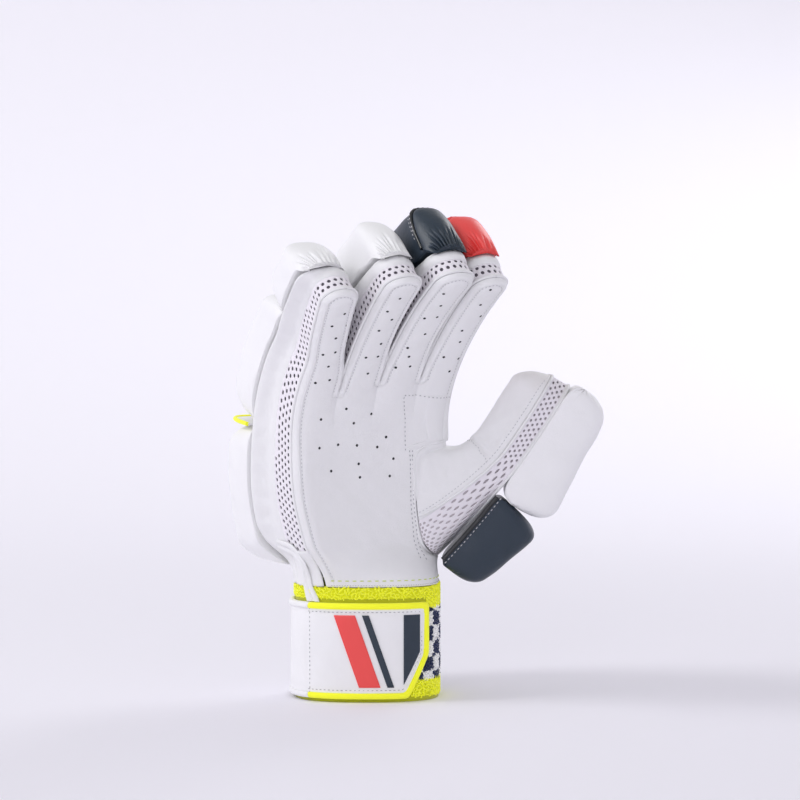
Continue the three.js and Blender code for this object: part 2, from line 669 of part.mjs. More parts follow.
// The strap's outline moved in by a distance: along its lower edge, up its slanted corner and back along the top
const slant = Math.hypot(STRAP_CORNER_LENGTH, STRAP_CORNER_HEIGHT);
const cornerHeight = (w, inset) =>
  (inset * slant - STRAP_CORNER_HEIGHT * (w - STRAP_CORNER_LENGTH)) / STRAP_CORNER_LENGTH;
const facetAngles = steps(CUFF_FACETS).map((share) => STRAP_TIP_ANGLE - share * 360);
const stations = facetAngles.slice(1).map((degrees) => roundCuff.find((row) => row.degrees <= degrees + 1e-6).at);
const [bend, ...others] = stations;
const far = [...others.filter((w) => w > STRAP_CORNER_LENGTH + STRAP_BINDING && w < STRAP_LENGTH), STRAP_LENGTH];
function strapOutline(inset) {
  const foot = STRAP_CORNER_LENGTH + (inset * (slant - STRAP_CORNER_LENGTH)) / STRAP_CORNER_HEIGHT;
  const top = STRAP_HEIGHT - inset;
  const lower = [...[...far].reverse(), foot].map((w) => [w, inset]);
  const corner = [bend, inset].map((w) => [w, cornerHeight(w, inset)]);
  const upper = [inset, bend, foot, ...far].map((w) => [w, top]);
  return { lower: [...lower, ...corner], upper: upper.reverse() };
}
const loop = ({ lower, upper }) => [...lower, ...[...upper].reverse()];

// The turned edge of the leather at the wrist: its upper and lower edge on the hand's little-finger side, as shares of
// the fit length up from the cuff and of the hand's depth, then on the cuff as angles and shares of the band's height
const FLAP_ON_HAND = [
  { upper: [1, 0.8], lower: [0.75, 0.8] },
  { upper: [0.9, 0.42], lower: [0.62, 0.5] },
  { upper: [0.54, 0.28], lower: [0.42, 0.41] },
  { upper: [0.2, 0.26], lower: [0.17, 0.39] },
  { upper: [0.02, 0.25], lower: [0.02, 0.38] },
];
const FLAP_ON_CUFF = [
  { angles: [-136, -148], height: 0.6 },
  { angles: [-134, -146], height: 0.33 },
];
function flap() {
  const layer = (out) => [
    ...FLAP_ON_HAND.map(({ upper, lower }) =>
      [upper, lower].map(([up, deep]) => {
        const s = up * CUFF_FIT_LENGTH;
        return inHand(fingerEdge(0, -1, s, false) - out, s, deep * handDepth(s), out);
      }),
    ),
    ...FLAP_ON_CUFF.map(({ angles, height }) =>
      angles.map((degrees) => onCuff(degrees, CUFF_HEIGHT - CUFF_BAND + CUFF_BAND * height, out)),
    ),
  ];
  return walls([{ outer: layer(GAP * 2 + LEATHER), inner: layer(GAP * 2) }]);
}

add("palm_leather", handSheet(frontSheet), "leather");
add("back_leather", handSheet(backSheet), "leather");

const meshLow = PALM_HEIGHTS[3];
const crotch = PALM_HEIGHTS[11];
const [between, seam] = [GAP / FINGER_DEPTH, GAP / PALM_LENGTH];
FINGERS.forEach(({ name }, index) => {
  const [mesh, leather] = [fingerPath(index, [meshLow + seam, crotch]), fingerPath(index, [0, crotch])];
  add(`gusset_${name}`, band(index, mesh, 0, MESH_SHARE - between, MESH), "mesh", 0.9);
  add(`wall_${name}`, band(index, leather, MESH_SHARE + between, 1, LEATHER), "leather");
});
const last = FINGERS.length - 1;
const littleHeel = sidePath(0, -1, palmRows(0, meshLow - seam));
const thumbHeel = sidePath(last, 1, palmRows(0, THUMB_HOLE[0].at - seam * 3)).reverse();
add("heel_little", band(0, littleHeel, 0, MESH_SHARE - between, LEATHER), "leather");
add("heel_thumb", band(last, thumbHeel, 0, 1, LEATHER), "leather");
const patchRows = PALM_HEIGHTS.slice(9, 14).map((at) => ({ heights: [at * PALM_LENGTH, at * PALM_LENGTH], turn: 0 }));
const patchPlaces = [[2, 0], [2, 0.72], [3, -1], [3, -0.72], [3, 0], [3, 0.72]];
add("palm_patch", patch(patchPlaces, patchRows), "leather");

const pipingLow = HAND_ROLL_START + HAND_ROLL_LENGTH + GAP;
const tipColours = { little: "leather", ring: "leather", middle: "navy", index: "red" };
FINGERS.forEach(({ name }, index) => {
  const { tip } = finger(index);
  const tipFrom = tip + TIP_ROLL_OVERHANG - TIP_ROLL_LENGTH;
  const midFrom = pipingLow + PIPING_WIDTH + GAP;
  add(`roll_tip_${name}`, fingerRoll(index, tipFrom, tip + TIP_ROLL_OVERHANG), tipColours[name]);
  add(`roll_mid_${name}`, fingerRoll(index, midFrom, tipFrom - GAP), "leather");
  add(`roll_hand_${name}`, fingerRoll(index, HAND_ROLL_START, HAND_ROLL_START + HAND_ROLL_LENGTH), "leather");
});

add("thumb_leather", thumbLeather(), "leather");
add("thumb_gusset", thumbGusset(), "mesh", 0.9);
add("thumb_backing", thumbBacking(), "leather");
const padsMeet = THUMB_LENGTH + TIP_ROLL_OVERHANG - TIP_PAD_LENGTH;
const rootPadFrom = padsMeet - GAP - ROOT_PAD_LENGTH;
add("thumb_pad_tip", thumbPad(padsMeet, TIP_PAD_LENGTH, [PAD_MEETING_HEIGHT, TIP_PAD_HEIGHT]), "leather");
add("thumb_pad_root", thumbPad(rootPadFrom, ROOT_PAD_LENGTH, [ROOT_PAD_HEIGHT, PAD_MEETING_HEIGHT]), "navy");

add("cuff_band_bottom", cuffRing(0, CUFF_BAND, CUFF_WALL), "lime", 0.95);
add("cuff_towel", cuffRing(CUFF_BAND + GAP, CUFF_HEIGHT - CUFF_BAND - GAP, CUFF_WALL), "towel", 0.95);
add("cuff_band_top", cuffRing(CUFF_HEIGHT - CUFF_BAND, CUFF_HEIGHT, CUFF_WALL), "lime", 0.95);

add("back_piping", piping(pipingLow, pipingLow + PIPING_WIDTH), "lime");
add("wrist_flap", flap(), "leather");

// Strap: a binding round its edge, the panel inside it, and the pieces stitched on the panel
const binding = { outer: loop(strapOutline(0)), inner: loop(strapOutline(STRAP_BINDING)) };
add("strap_binding", plate([binding.outer, binding.inner], 0, STRAP_THICKNESS + STRAP_BINDING_PROUD), "lime", 0.9);
const face = strapOutline(STRAP_BINDING + GAP);
add("strap", plate([face.lower, face.upper], 0, STRAP_THICKNESS), "leather");
const margin = STRAP_BINDING * 2;
const onFace = STRAP_THICKNESS + GAP;
const panelStations = [margin, bend, margin + END_PANEL_LENGTH];
const panelLow = panelStations.map((w) => [w, cornerHeight(w, margin)]);
const panelHigh = panelStations.map((w) => [w, STRAP_HEIGHT - margin]);
add("strap_end_panel", plate([panelLow, panelHigh], onFace, PRINT_THICKNESS), "navy");
function stripe(name, start, width, colour) {
  const across = steps(3).map((share) => start + share * width);
  const along = steps(4).map((share) => [share * STRIPE_SLANT, mix(margin, STRAP_HEIGHT - margin, share)]);
  add(name, plate(across.map((w) => along.map(([lean, h]) => [w + lean, h])), onFace, PRINT_THICKNESS), colour);
}
stripe("strap_stripe_thin", STRIPE_START, STRIPE_THIN, "navy");
stripe("strap_stripe_wide", STRIPE_START + STRIPE_THIN * 2, STRIPE_WIDE, "red");

// The origin goes to the middle of the whole box's base
const whole = new THREE.Box3().setFromObject(glove);
const centre = whole.getCenter(new THREE.Vector3());
glove.position.set(-centre.x, -centre.y, -whole.min.z);

export default glove;
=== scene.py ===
# Looks of a cricket batting glove: leather, mesh, padded rolls, towelling cuff and wrist strap.
# Shapes are worked out in millimetres in the glove's own space, and placed in the frame in metres.
import math
from functools import cache

import bmesh
import bpy
import numpy as np
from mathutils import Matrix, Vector


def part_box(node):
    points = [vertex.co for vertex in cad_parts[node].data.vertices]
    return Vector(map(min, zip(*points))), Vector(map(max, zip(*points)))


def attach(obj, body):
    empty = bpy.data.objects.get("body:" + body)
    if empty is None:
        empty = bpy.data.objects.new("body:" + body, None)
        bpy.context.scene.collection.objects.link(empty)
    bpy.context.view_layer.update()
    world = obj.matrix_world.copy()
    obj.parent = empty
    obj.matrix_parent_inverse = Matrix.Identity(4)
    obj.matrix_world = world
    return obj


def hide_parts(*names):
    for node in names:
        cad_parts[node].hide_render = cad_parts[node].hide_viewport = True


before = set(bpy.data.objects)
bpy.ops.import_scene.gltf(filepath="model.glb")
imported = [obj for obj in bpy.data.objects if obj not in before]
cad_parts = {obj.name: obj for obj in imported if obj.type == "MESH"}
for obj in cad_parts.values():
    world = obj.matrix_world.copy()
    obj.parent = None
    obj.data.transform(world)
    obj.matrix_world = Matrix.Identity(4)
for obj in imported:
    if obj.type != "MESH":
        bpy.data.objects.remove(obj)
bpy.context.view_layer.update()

bl_info = {
    "name": "Cricket batting glove",
    "version": (1, 0, 0),
    "blender": (4, 5, 0),
    "location": "3D View > Sidebar > Glove",
    "description": "Dresses the batting glove's solids in leather, mesh, padding and towelling",
    "category": "Object",
}

# Sizes of the solids, in millimetres and degrees
CUFF_HEIGHT, CUFF_WIDTH, CUFF_DEPTH, CUFF_SQUARENESS = 60, 76, 56, 2.6
CUFF_WALL, CUFF_BAND, CUFF_TURN, CUFF_FIT_LENGTH = 4, 11, 28, 24
STRAP_HEIGHT, STRAP_BASE, STRAP_LENGTH, STRAP_THICKNESS = 50, 2, 150, 2.2
STRAP_CORNER_LENGTH, STRAP_CORNER_HEIGHT, STRAP_BINDING, STRAP_TIP_ANGLE = 12, 23, 3, -33.75
END_PANEL_LENGTH, STRIPE_WIDE, STRIPE_THIN, STRIPE_SLANT, STRIPE_START = 9, 11, 3.5, 13, 20
PALM_WIDTH, PALM_LENGTH, PALM_DEPTH, PALM_FRONT, PALM_CUP = 92, 110, 44, 20, 2
PALM_FLAT_LENGTH, PALM_CURL, KNUCKLE_CURL, BACK_CURL_SHARE, PALM_EDGE_DIP = 45, 6, 30, 0.8, 5.5
WRIST_LENGTH, WRIST_LEAN, HEEL_DIP, HEEL_SHARE = 35, 4, 12, 0.22
FINGER_LENGTH, FINGER_WIDTH, FINGER_DEPTH, FINGER_DIP, FINGER_BACK_DIP = 83, 20.5, 21, 4.5, 2.5
SLIT_DIP, SLIT_SPREAD, DEPTH_TAPER, MESH_SHARE = 3, 26, 82, 0.58
LEATHER, MESH, GAP = 1.4, 1.6, 0.4
TIP_ROLL_LENGTH, TIP_ROLL_OVERHANG, FINGER_ROLL_HEIGHT, LITTLE_ROLL_OVERHANG = 42, 2.5, 28, 7
ROLL_TAPER_START, ROLL_TAPER, HAND_ROLL_HEIGHT = 60, 110, 35
HAND_ROLL_START, HAND_ROLL_LENGTH = 9, 70
ROLL_SIDE_GAP, ROLL_SEAT_GAP, ROLL_BULGE, ROLL_POWER = 0.5, 0.6, 0.5, 3.6
PIPING_WIDTH, PIPING_RISE = 2, 0.85
THUMB_LENGTH, THUMB_WIDTH, THUMB_DEPTH, THUMB_DIP, THUMB_LEAN, THUMB_CURL = 80, 27, 28, 17, 40, 10
THUMB_ACROSS, THUMB_RISE, THUMB_BEHIND, THUMB_ROOT_LENGTH, THUMB_PAD_WIDTH = 37, 53, 5, 34, 31
TIP_PAD_LENGTH, TIP_PAD_HEIGHT, ROOT_PAD_LENGTH, ROOT_PAD_HEIGHT, PAD_MEETING_HEIGHT = 67, 24, 44, 24, 32
DIP_POWER, TIP_DIP_POWER = 2.4, 3
MESH_LOW, CROTCH = 0.165, 0.7

# The palm by height: its two edges and its depth, as shares of its length, half its width and its depth
PALM_ROWS = np.array([
    (0, -0.76, 0.74, 1.15),
    (0.2, -0.93, 0.79, 1.12),
    (0.45, -1.08, 0.84, 1.06),
    (0.75, -1.13, 0.85, 0.95),
    (1, -1.12, 0.85, 0.85),
]).T
# Where each finger ends across the palm, the height of the slit beside it, its length, width and lean, the
# degrees its front and its back curl, and the height of its tip's roll
FINGER_FIELDS = ("name", "end", "slit", "length", "width", "lean", "curl", "back", "roll")
FINGERS = [
    dict(zip(FINGER_FIELDS, fields))
    for fields in (
        ("little", 0.245, 0.935, 0.78, 0.96, -0.17, 16, 8, 0.85),
        ("ring", 0.49, 0.99, 0.93, 1, -0.02, 22, 11, 1.08),
        ("middle", 0.75, 1, 1, 1.04, 0.03, 26, 18, 1.12),
        ("index", 1, 1, 0.93, 1, 0.03, 24, 18, 1),
    )
]
for row in FINGERS:
    row["length"] *= FINGER_LENGTH
    row["tip"] = PALM_LENGTH + row["length"]
    row["half"] = FINGER_WIDTH * row["width"] / 2
# The thumb's hole: angle round the thumb, height, place across and depth, as shares of the palm's
THUMB_HOLE = np.array([
    (-180, 0.125, 0.865, 0.5), (-150, 0.128, 0.8, 0.15), (-135, 0.137, 0.66, 0.03), (-120, 0.165, 0.56, 0),
    (-105, 0.22, 0.5, 0), (-88, 0.3, 0.46, 0), (-70, 0.42, 0.43, 0), (-52, 0.545, 0.41, 0),
    (-38, 0.62, 0.43, 0), (-25, 0.66, 0.58, 0.01), (-10, 0.68, 0.8, 0.05), (10, 0.69, 0.865, 0.2),
    (30, 0.69, 0.865, 0.5), (48, 0.68, 0.865, 0.75), (62, 0.63, 0.865, 0.86), (78, 0.52, 0.865, 0.87),
    (95, 0.4, 0.865, 0.87), (112, 0.28, 0.855, 0.87), (130, 0.18, 0.85, 0.87), (150, 0.13, 0.85, 0.8),
    (180, 0.125, 0.865, 0.5),
]).T
THUMB_LEATHER_ANGLES = (-88, 95)
THUMB_GUSSET_ANGLE = 150
HALF_PALM = PALM_WIDTH / 2
LITTLE, RING, MIDDLE, INDEX = range(4)

low, high = (np.array(corner) * 1000 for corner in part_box("cuff_towel"))
SHIFT = np.array([(low[0] + high[0]) / 2, (low[1] + high[1]) / 2, 0])


# ---- Shapes shared by the pieces ----


def mix(a, b, share):
    return a + (b - a) * share


def smooth(x):
    x = np.clip(x, 0, 1)
    return x * x * (3 - 2 * x)


def running(steps):
    """Distances run from the start of a path to each of its points."""
    return np.concatenate([[0], np.cumsum(steps)])


def column(at, value):
    """A smooth curve through a table's rows."""
    before = np.maximum(np.arange(len(at)) - 1, 0)
    after = np.minimum(np.arange(len(at)) + 1, len(at) - 1)
    slope = (value[after] - value[before]) / (at[after] - at[before])

    def read(x):
        x = np.clip(x, at[0], at[-1])
        i = np.clip(np.searchsorted(at, x, "right") - 1, 0, len(at) - 2)
        span = at[i + 1] - at[i]
        u = (x - at[i]) / span
        rise = (2 * u - 3) * u * u + 1
        fall = (u - 1) ** 2 * u * slope[i] + (u - 1) * u * u * slope[i + 1]
        return value[i] * rise + value[i + 1] * (1 - rise) + fall * span

    return read


palm_left, palm_right, palm_depth = (column(PALM_ROWS[0], PALM_ROWS[k]) for k in (1, 2, 3))
hole_at, hole_x, hole_d = (column(THUMB_HOLE[0], THUMB_HOLE[k]) for k in (1, 2, 3))
near_hole = THUMB_HOLE[:, (THUMB_HOLE[0] >= -150) & (THUMB_HOLE[0] <= -10)]
hole_edge = column(near_hole[1], near_hole[2])
HOLE_LOW, HOLE_HIGH = near_hole[1][0], near_hole[1][-1]


def oval_radius(angle):
    x = np.abs(np.cos(angle) / (CUFF_WIDTH / 2)) ** CUFF_SQUARENESS
    y = np.abs(np.sin(angle) / (CUFF_DEPTH / 2)) ** CUFF_SQUARENESS
    return (x + y) ** (-1 / CUFF_SQUARENESS)


def on_cuff(degrees, height, out):
    """A point on the cuff's skin, by angle, height and distance out."""
    angle = np.radians(degrees)
    radius = oval_radius(angle) + out
    turned = angle - math.radians(CUFF_TURN)
    return np.stack(np.broadcast_arrays(radius * np.cos(turned), radius * np.sin(turned), height), -1)


def spine(s, index):
    """Where the palm's skin lies at a height along the hand, and which way its back faces."""
    row = FINGERS[index]
    arcs = [
        (WRIST_LENGTH, WRIST_LEAN),
        (PALM_FLAT_LENGTH, PALM_CURL),
        (PALM_LENGTH - WRIST_LENGTH - PALM_FLAT_LENGTH, KNUCKLE_CURL),
        (row["length"], row["curl"]),
    ]
    left = np.asarray(s, float)
    y, z = -PALM_FRONT + 0 * left, CUFF_HEIGHT + GAP + 0 * left
    tilt = math.radians(-WRIST_LEAN) + 0 * left
    for number, (length, turn) in enumerate(arcs):
        run = left if number == 3 else np.minimum(left, length)
        bend = math.radians(turn) / length
        after = tilt + bend * run
        y = y + (np.cos(after) - np.cos(tilt)) / bend
        z = z + (np.sin(after) - np.sin(tilt)) / bend
        tilt, left = after, left - run
    past = np.maximum(np.asarray(s) - PALM_LENGTH, 0) / row["length"]
    back = (tilt - math.radians(row["curl"]) * past) * BACK_CURL_SHARE + math.radians(row["back"]) * past
    return y, z, back


def in_hand(x, s, d, out, index=0):
    """A point by x across, s up and d back from the palm; near the cuff it lies on the cuff's oval."""
    x, s, d, out = np.broadcast_arrays(*(np.asarray(a, float) for a in (x, s, d, out)))
    y, z, back = spine(s, index)
    point = np.stack([x, y + d * np.cos(back), z + d * np.sin(back)], -1)
    turned = np.degrees(np.arctan2(point[..., 1], point[..., 0])) + CUFF_TURN
    fitted = on_cuff(turned, CUFF_HEIGHT + GAP + s, out)
    return mix(fitted, point, smooth(s / CUFF_FIT_LENGTH)[..., None])


def hand_edge(share, s, front):
    right = palm_right(s / PALM_LENGTH) * HALF_PALM
    if front:
        for near in ((s - GAP) / PALM_LENGTH, (s + GAP) / PALM_LENGTH):
            inside = (near > HOLE_LOW) & (near < HOLE_HIGH)
            right = np.where(inside, np.minimum(right, hole_edge(near) * HALF_PALM - GAP), right)
    return mix(palm_left(s / PALM_LENGTH) * HALF_PALM, right, share)


def slit_of(border):
    return PALM_LENGTH * (1 if border < 0 else FINGERS[border]["slit"])


def border_of(index, side):
    """The slit beside a finger, by its number; -1 and INDEX are the hand's own edges."""
    return index - 1 if side < 0 else index


def finger_edge(index, side, s, front):
    border = border_of(index, side)
    slit = slit_of(border)
    s = np.asarray(s, float)
    in_palm = hand_edge(0 if border < 0 else FINGERS[border]["end"], np.minimum(s, slit), front)
    row = FINGERS[index]
    start = FINGERS[index - 1]["end"] if index else 0
    middle = hand_edge((start + row["end"]) / 2, np.full_like(s, PALM_LENGTH), front)
    middle = middle + row["lean"] * (s - PALM_LENGTH)
    return mix(in_palm, middle + side * row["half"], np.where(s <= slit, 0, smooth((s - slit) / SLIT_SPREAD)))


def hand_depth(s):
    palm = palm_depth(s / PALM_LENGTH) * PALM_DEPTH
    return mix(palm, FINGER_DEPTH, np.clip((s - PALM_LENGTH) / DEPTH_TAPER, 0, 1))


def edge_dip(index, side, s):
    border = border_of(index, side)
    slit = slit_of(border)
    if border not in (-1, INDEX):
        valley = SLIT_DIP * smooth((s - slit) / SLIT_SPREAD + 1)
        return np.where(s <= slit, valley, mix(SLIT_DIP, FINGER_DIP, smooth((s - slit) / SLIT_SPREAD)))
    outer = mix(PALM_EDGE_DIP, FINGER_DIP, smooth((s - slit) / SLIT_SPREAD))
    if side < 0:
        return outer
    at = s / PALM_LENGTH
    above = outer * smooth((at - HOLE_HIGH) / (1 - HOLE_HIGH) + 0.5)
    return np.where(at > HOLE_HIGH, above, HEEL_DIP * (1 - smooth(at / HEEL_SHARE)))


def sheet_rows(index, v):
    """Rows of a finger's sheet, 0 to 1 up the palm, to 2 up the finger and to 3 round its tip."""
    row = FINGERS[index]
    v = np.asarray(v, float)[:, None]
    slits = np.array([[slit_of(index - 1), slit_of(index)]])
    palm = np.minimum(v, 1)
    reach = mix(PALM_LENGTH, slits, np.clip((palm - 0.7) / 0.12, 0, 1))
    heights = mix(palm * reach, row["tip"] - row["half"], np.clip(v - 1, 0, 1))
    return heights, np.radians(90 * np.clip(v[:, 0] - 2, 0, 1))


def sheet_point(index, heights, turn, t, front):
    """Across, up and level of the sheet's points; heights and turn by row, t by column."""
    row = FINGERS[index]
    low, high, turn = heights[:, 0:1], heights[:, 1:2], turn[:, None]
    t = np.broadcast_to(t, (len(heights), np.shape(t)[-1]))
    level = mix(low, high, (t + 1) / 2)
    left = finger_edge(index, -1, np.where(t < 0, low, level), front)
    right = finger_edge(index, 1, np.where(t > 0, high, level), front)
    x = mix((left + right) / 2, mix(left, right, (t + 1) / 2), np.cos(turn))
    return x, level + row["half"] * np.sin(turn), level, (right - left) / 2


def rim_distance(index, level, t, turn, half):
    """Millimetres from a sheet's point to the finger's or the palm's edge."""
    turn = turn[:, None]
    share = np.sqrt((t * np.cos(turn)) ** 2 + np.sin(turn) ** 2)
    nearest = half * (1 - share)
    for side in (-1, 1):
        border = border_of(index, side)
        across = half * (1 - side * t)
        if border in (-1, INDEX):
            nearest = np.minimum(nearest, across)
        else:
            below = slit_of(border) - level
            nearest = np.where((t * side > 0) & (below > 0), np.hypot(across, below), nearest)
    return nearest


WELT, WELT_RISE, CREASE = 3.2, 1.0, 0.5


def welt(distance):
    """How far the rolled hem stands out of the leather at a distance from the edge."""
    inside = np.clip(distance / WELT, 0, 1)
    hump = WELT_RISE * np.sin(np.pi * inside) ** 0.8
    groove = CREASE * np.exp(-(((distance - WELT - 0.5) / 0.5) ** 2))
    return np.where(distance < WELT, hump, 0) - groove


def ripple(points, size, seed):
    """Smooth random heights over points in space, about -1 to 1, with features of a size in millimetres."""
    random = np.random.default_rng(seed)
    total = np.zeros(points.shape[:-1])
    for _ in range(7):
        way = random.normal(size=3)
        way *= 2 * np.pi / (size * random.uniform(0.7, 1.6)) / np.linalg.norm(way)
        total += np.sin(points @ way + random.uniform(0, 6.3))
    return total / 3.2


def fallen(dip, t, turn):
    """How far a sheet drops across itself: by its dip at its edges and all round its tip."""
    fall = np.abs(t) ** DIP_POWER
    return dip * (fall + (1 - fall) * np.sin(turn) ** TIP_DIP_POWER)


def front_surface(index, heights, turn, t, deep=0.0):
    x, s, level, _ = sheet_point(index, heights, turn, t, True)
    t = np.broadcast_to(t, x.shape)
    dip = np.where(t < 0, edge_dip(index, -1, level), edge_dip(index, 1, level))
    cup = PALM_CUP * np.sin(np.pi * np.minimum(s / PALM_LENGTH, 1)) * np.maximum(1 - (x / HALF_PALM) ** 2, 0)
    return in_hand(x, s, fallen(dip, t, turn[:, None]) + cup + deep, -deep, index)


def back_surface(index, heights, turn, t):
    x, s, level, _ = sheet_point(index, heights, turn, t, False)
    t = np.broadcast_to(t, x.shape)
    slit = np.where(t < 0, slit_of(index - 1), slit_of(index))
    outer = ((t < 0) & (index == 0)) | ((t > 0) & (index == INDEX))
    dip = FINGER_BACK_DIP * np.where(outer, 1, smooth((level - slit) / SLIT_SPREAD + 1))
    return in_hand(x, s, hand_depth(level) - fallen(dip, t, turn[:, None]), 0, index)


def palm_skin(index, v, t, lift=0.0):
    """The palm leather's finished face: rolled hems, soft creases, and a height above it."""
    heights, turn = sheet_rows(index, v)
    x, s, level, half = sheet_point(index, heights, turn, t, True)
    t = np.broadcast_to(t, x.shape)
    distance = rim_distance(index, level, t, turn, half)
    flat = front_surface(index, heights, turn, t)
    soft = np.clip(distance / 8, 0, 1) * smooth(level / 20)
    by_thumb = (t > 0) & (index == INDEX)
    hem = np.where(by_thumb, smooth((level / PALM_LENGTH - 0.66) / 0.06), 1)
    deep = -welt(distance) * smooth(level / 6) * hem - lift
    deep = deep - 0.35 * ripple(flat, 26, 5) * soft - 0.12 * ripple(flat, 9, 8) * soft
    return front_surface(index, heights, turn, t, deep)


def along_palm(index, v, t, lift=0.0):
    """A path on the palm leather from rows and places across."""
    v, t = np.broadcast_arrays(np.asarray(v, float), np.asarray(t, float))
    return palm_skin(index, v, t[:, None], lift)[:, 0]


def side_wall(index, low_left, low_right):
    """The wall up a finger's little side, round its tip and down its thumb side: a function of millimetres
    along it, share of its depth and distance out, and its length."""

    def rows(side, lowest):
        in_palm = np.linspace(lowest, 1, 90)[:-1] if border_of(index, side) in (-1, INDEX) else []
        v = np.concatenate([in_palm, np.linspace(1, 2, 60)[:-1], np.linspace(2, 2.97, 26)])
        x, s, level, _ = sheet_point(index, *sheet_rows(index, v), np.array([side]), False)
        return np.stack([x[:, 0], s[:, 0], level[:, 0], edge_dip(index, side, level[:, 0])])

    path = np.hstack([rows(-1, low_left), rows(1, low_right)[:, ::-1]])
    run = running(np.hypot(*np.diff(path[:2], axis=1)))
    dx, ds = np.gradient(path[0]), np.gradient(path[1])
    length = np.hypot(dx, ds)
    table = np.vstack([path, -ds / length, dx / length])

    def place(u, share, out=0.0):
        x, s, level, dip, out_x, out_s = (np.interp(u, run, values) for values in table)
        wrist = LEATHER * (1 - smooth(level / CUFF_FIT_LENGTH))
        near = dip + LEATHER + wrist
        far = hand_depth(level) - FINGER_BACK_DIP - LEATHER / 2 - wrist
        return in_hand(x + out * out_x, s + out * out_s, mix(near, far, share), out, index)

    return place, run[-1]


def roll_edge(index, side, s):
    past = smooth((s - PALM_LENGTH) / SLIT_SPREAD)
    room = LITTLE_ROLL_OVERHANG if side < 0 and index == 0 else mix(-ROLL_SIDE_GAP, ROLL_BULGE, past)
    return finger_edge(index, side, s, False) + side * room


def on_roll_seat(index, x, s, h):
    flat = np.minimum(s, FINGERS[index]["tip"] - FINGERS[index]["half"])
    middle = (roll_edge(index, -1, flat) + roll_edge(index, 1, flat)) / 2
    return in_hand(middle + x, s, hand_depth(flat) + ROLL_SEAT_GAP + h, ROLL_SEAT_GAP + h, index)


def roll_half(index, s):
    return (roll_edge(index, 1, s) - roll_edge(index, -1, s)) / 2


def roll_height(index, s):
    share = smooth((s - ROLL_TAPER_START) / ROLL_TAPER)
    return mix(HAND_ROLL_HEIGHT, FINGER_ROLL_HEIGHT * FINGERS[index]["roll"], share)


FACING = math.radians(CUFF_TURN)
OUTWARDS = np.array([math.cos(FACING), -math.sin(FACING), 0])
BEHIND = np.array([math.sin(FACING), math.cos(FACING), 0])


def in_thumb(a, b, c):
    """A point by a along the thumb, b back from its palm side and c across it."""
    start = math.radians(THUMB_LEAN)
    bend = -math.radians(THUMB_CURL) / THUMB_LENGTH
    lean = start + bend * a
    across = THUMB_ACROSS + (np.cos(start) - np.cos(lean)) / bend + b * np.cos(lean)
    rise = CUFF_HEIGHT + THUMB_RISE + (np.sin(lean) - np.sin(start)) / bend - b * np.sin(lean)
    across, rise, c = (part[..., None] for part in np.broadcast_arrays(across, rise, c))
    return across * OUTWARDS + (THUMB_BEHIND + c) * BEHIND + rise * np.array([0, 0, 1])


def on_thumb(a, b, c, angle):
    angle = np.where(angle > 180, angle - 360, angle)
    s = hole_at(angle) * PALM_LENGTH
    root = in_hand(hole_x(angle) * HALF_PALM, s, hole_d(angle) * hand_depth(s) + GAP, 0)
    return mix(root, in_thumb(a, b, c), smooth(a / THUMB_ROOT_LENGTH)[..., None])


THUMB_HALF = THUMB_WIDTH / 2
THUMB_STRAIGHT = THUMB_LENGTH - THUMB_HALF


def thumb_rows(straight, turns):
    a = np.concatenate([straight * THUMB_STRAIGHT, np.full(len(turns), THUMB_STRAIGHT)])
    return a[:, None], np.radians(np.concatenate([0 * straight, turns]))[:, None]


def thumb_point(a, turn, b, t, angle):
    a, b, t, angle = np.broadcast_arrays(a + THUMB_HALF * np.sin(turn), b, t * np.cos(turn), angle)
    return on_thumb(a, b, t * THUMB_HALF, angle)


# ---- Meshes and modifiers ----


def quads(rows, across, wrap=False):
    i, j = np.meshgrid(np.arange(rows - 1), np.arange(across if wrap else across - 1), indexing="ij")
    low, high, k = i * across, (i + 1) * across, (j + 1) % across
    return np.stack([low + j, low + k, high + k, high + j], -1).reshape(-1, 4)


def grids(list_of_grids, wrap=False):
    points, faces, base = [], [], 0
    for grid in list_of_grids:
        faces.append(quads(*grid.shape[:2], wrap) + base)
        points.append(grid.reshape(-1, 3))
        base += len(points[-1])
    return np.vstack(points), np.vstack(faces)


def new_object(name, data):
    obj = bpy.data.objects.new(name, data)
    bpy.context.scene.collection.objects.link(obj)
    return obj


def mesh_object(name, points, faces, materials=(), outside=None, merge=0.02, closed=False, marks=()):
    """A mesh from points in millimetres. outside is a point that an open sheet's faces look away from.
    marks are attributes: name, type, domain and values."""
    mesh = bpy.data.meshes.new(name)
    placed = (np.asarray(points) + SHIFT) / 1000
    mesh.from_pydata(placed.tolist(), [], [list(face) for face in faces])
    for label, kind, domain, values in marks:
        field = "vector" if kind == "FLOAT_VECTOR" else "value"
        mesh.attributes.new(label, kind, domain).data.foreach_set(field, np.ravel(values))
    work = bmesh.new()
    work.from_mesh(mesh)
    if merge:
        bmesh.ops.remove_doubles(work, verts=work.verts, dist=merge / 1000)
    if closed:
        bmesh.ops.recalc_face_normals(work, faces=work.faces)
    work.to_mesh(mesh)
    work.free()
    if outside is not None:
        centre = (np.asarray(outside) + SHIFT) / 1000
        away = sum(f.normal.dot([f.center[k] - centre[k] for k in range(3)]) * f.area for f in mesh.polygons)
        if away < 0:
            mesh.flip_normals()
    mesh.shade_smooth()
    for material in materials:
        mesh.materials.append(material)
    return new_object(name, mesh)


def path_object(name, paths):
    """Paths as a mesh of edges, for the trees that sew or pipe along them."""
    edges, base = [], 0
    for path in paths:
        edges += [(base + i, base + i + 1) for i in range(len(path) - 1)]
        base += len(path)
    mesh = bpy.data.meshes.new(name)
    mesh.from_pydata(((np.vstack(paths) + SHIFT) / 1000).tolist(), edges, [])
    return new_object(name, mesh)


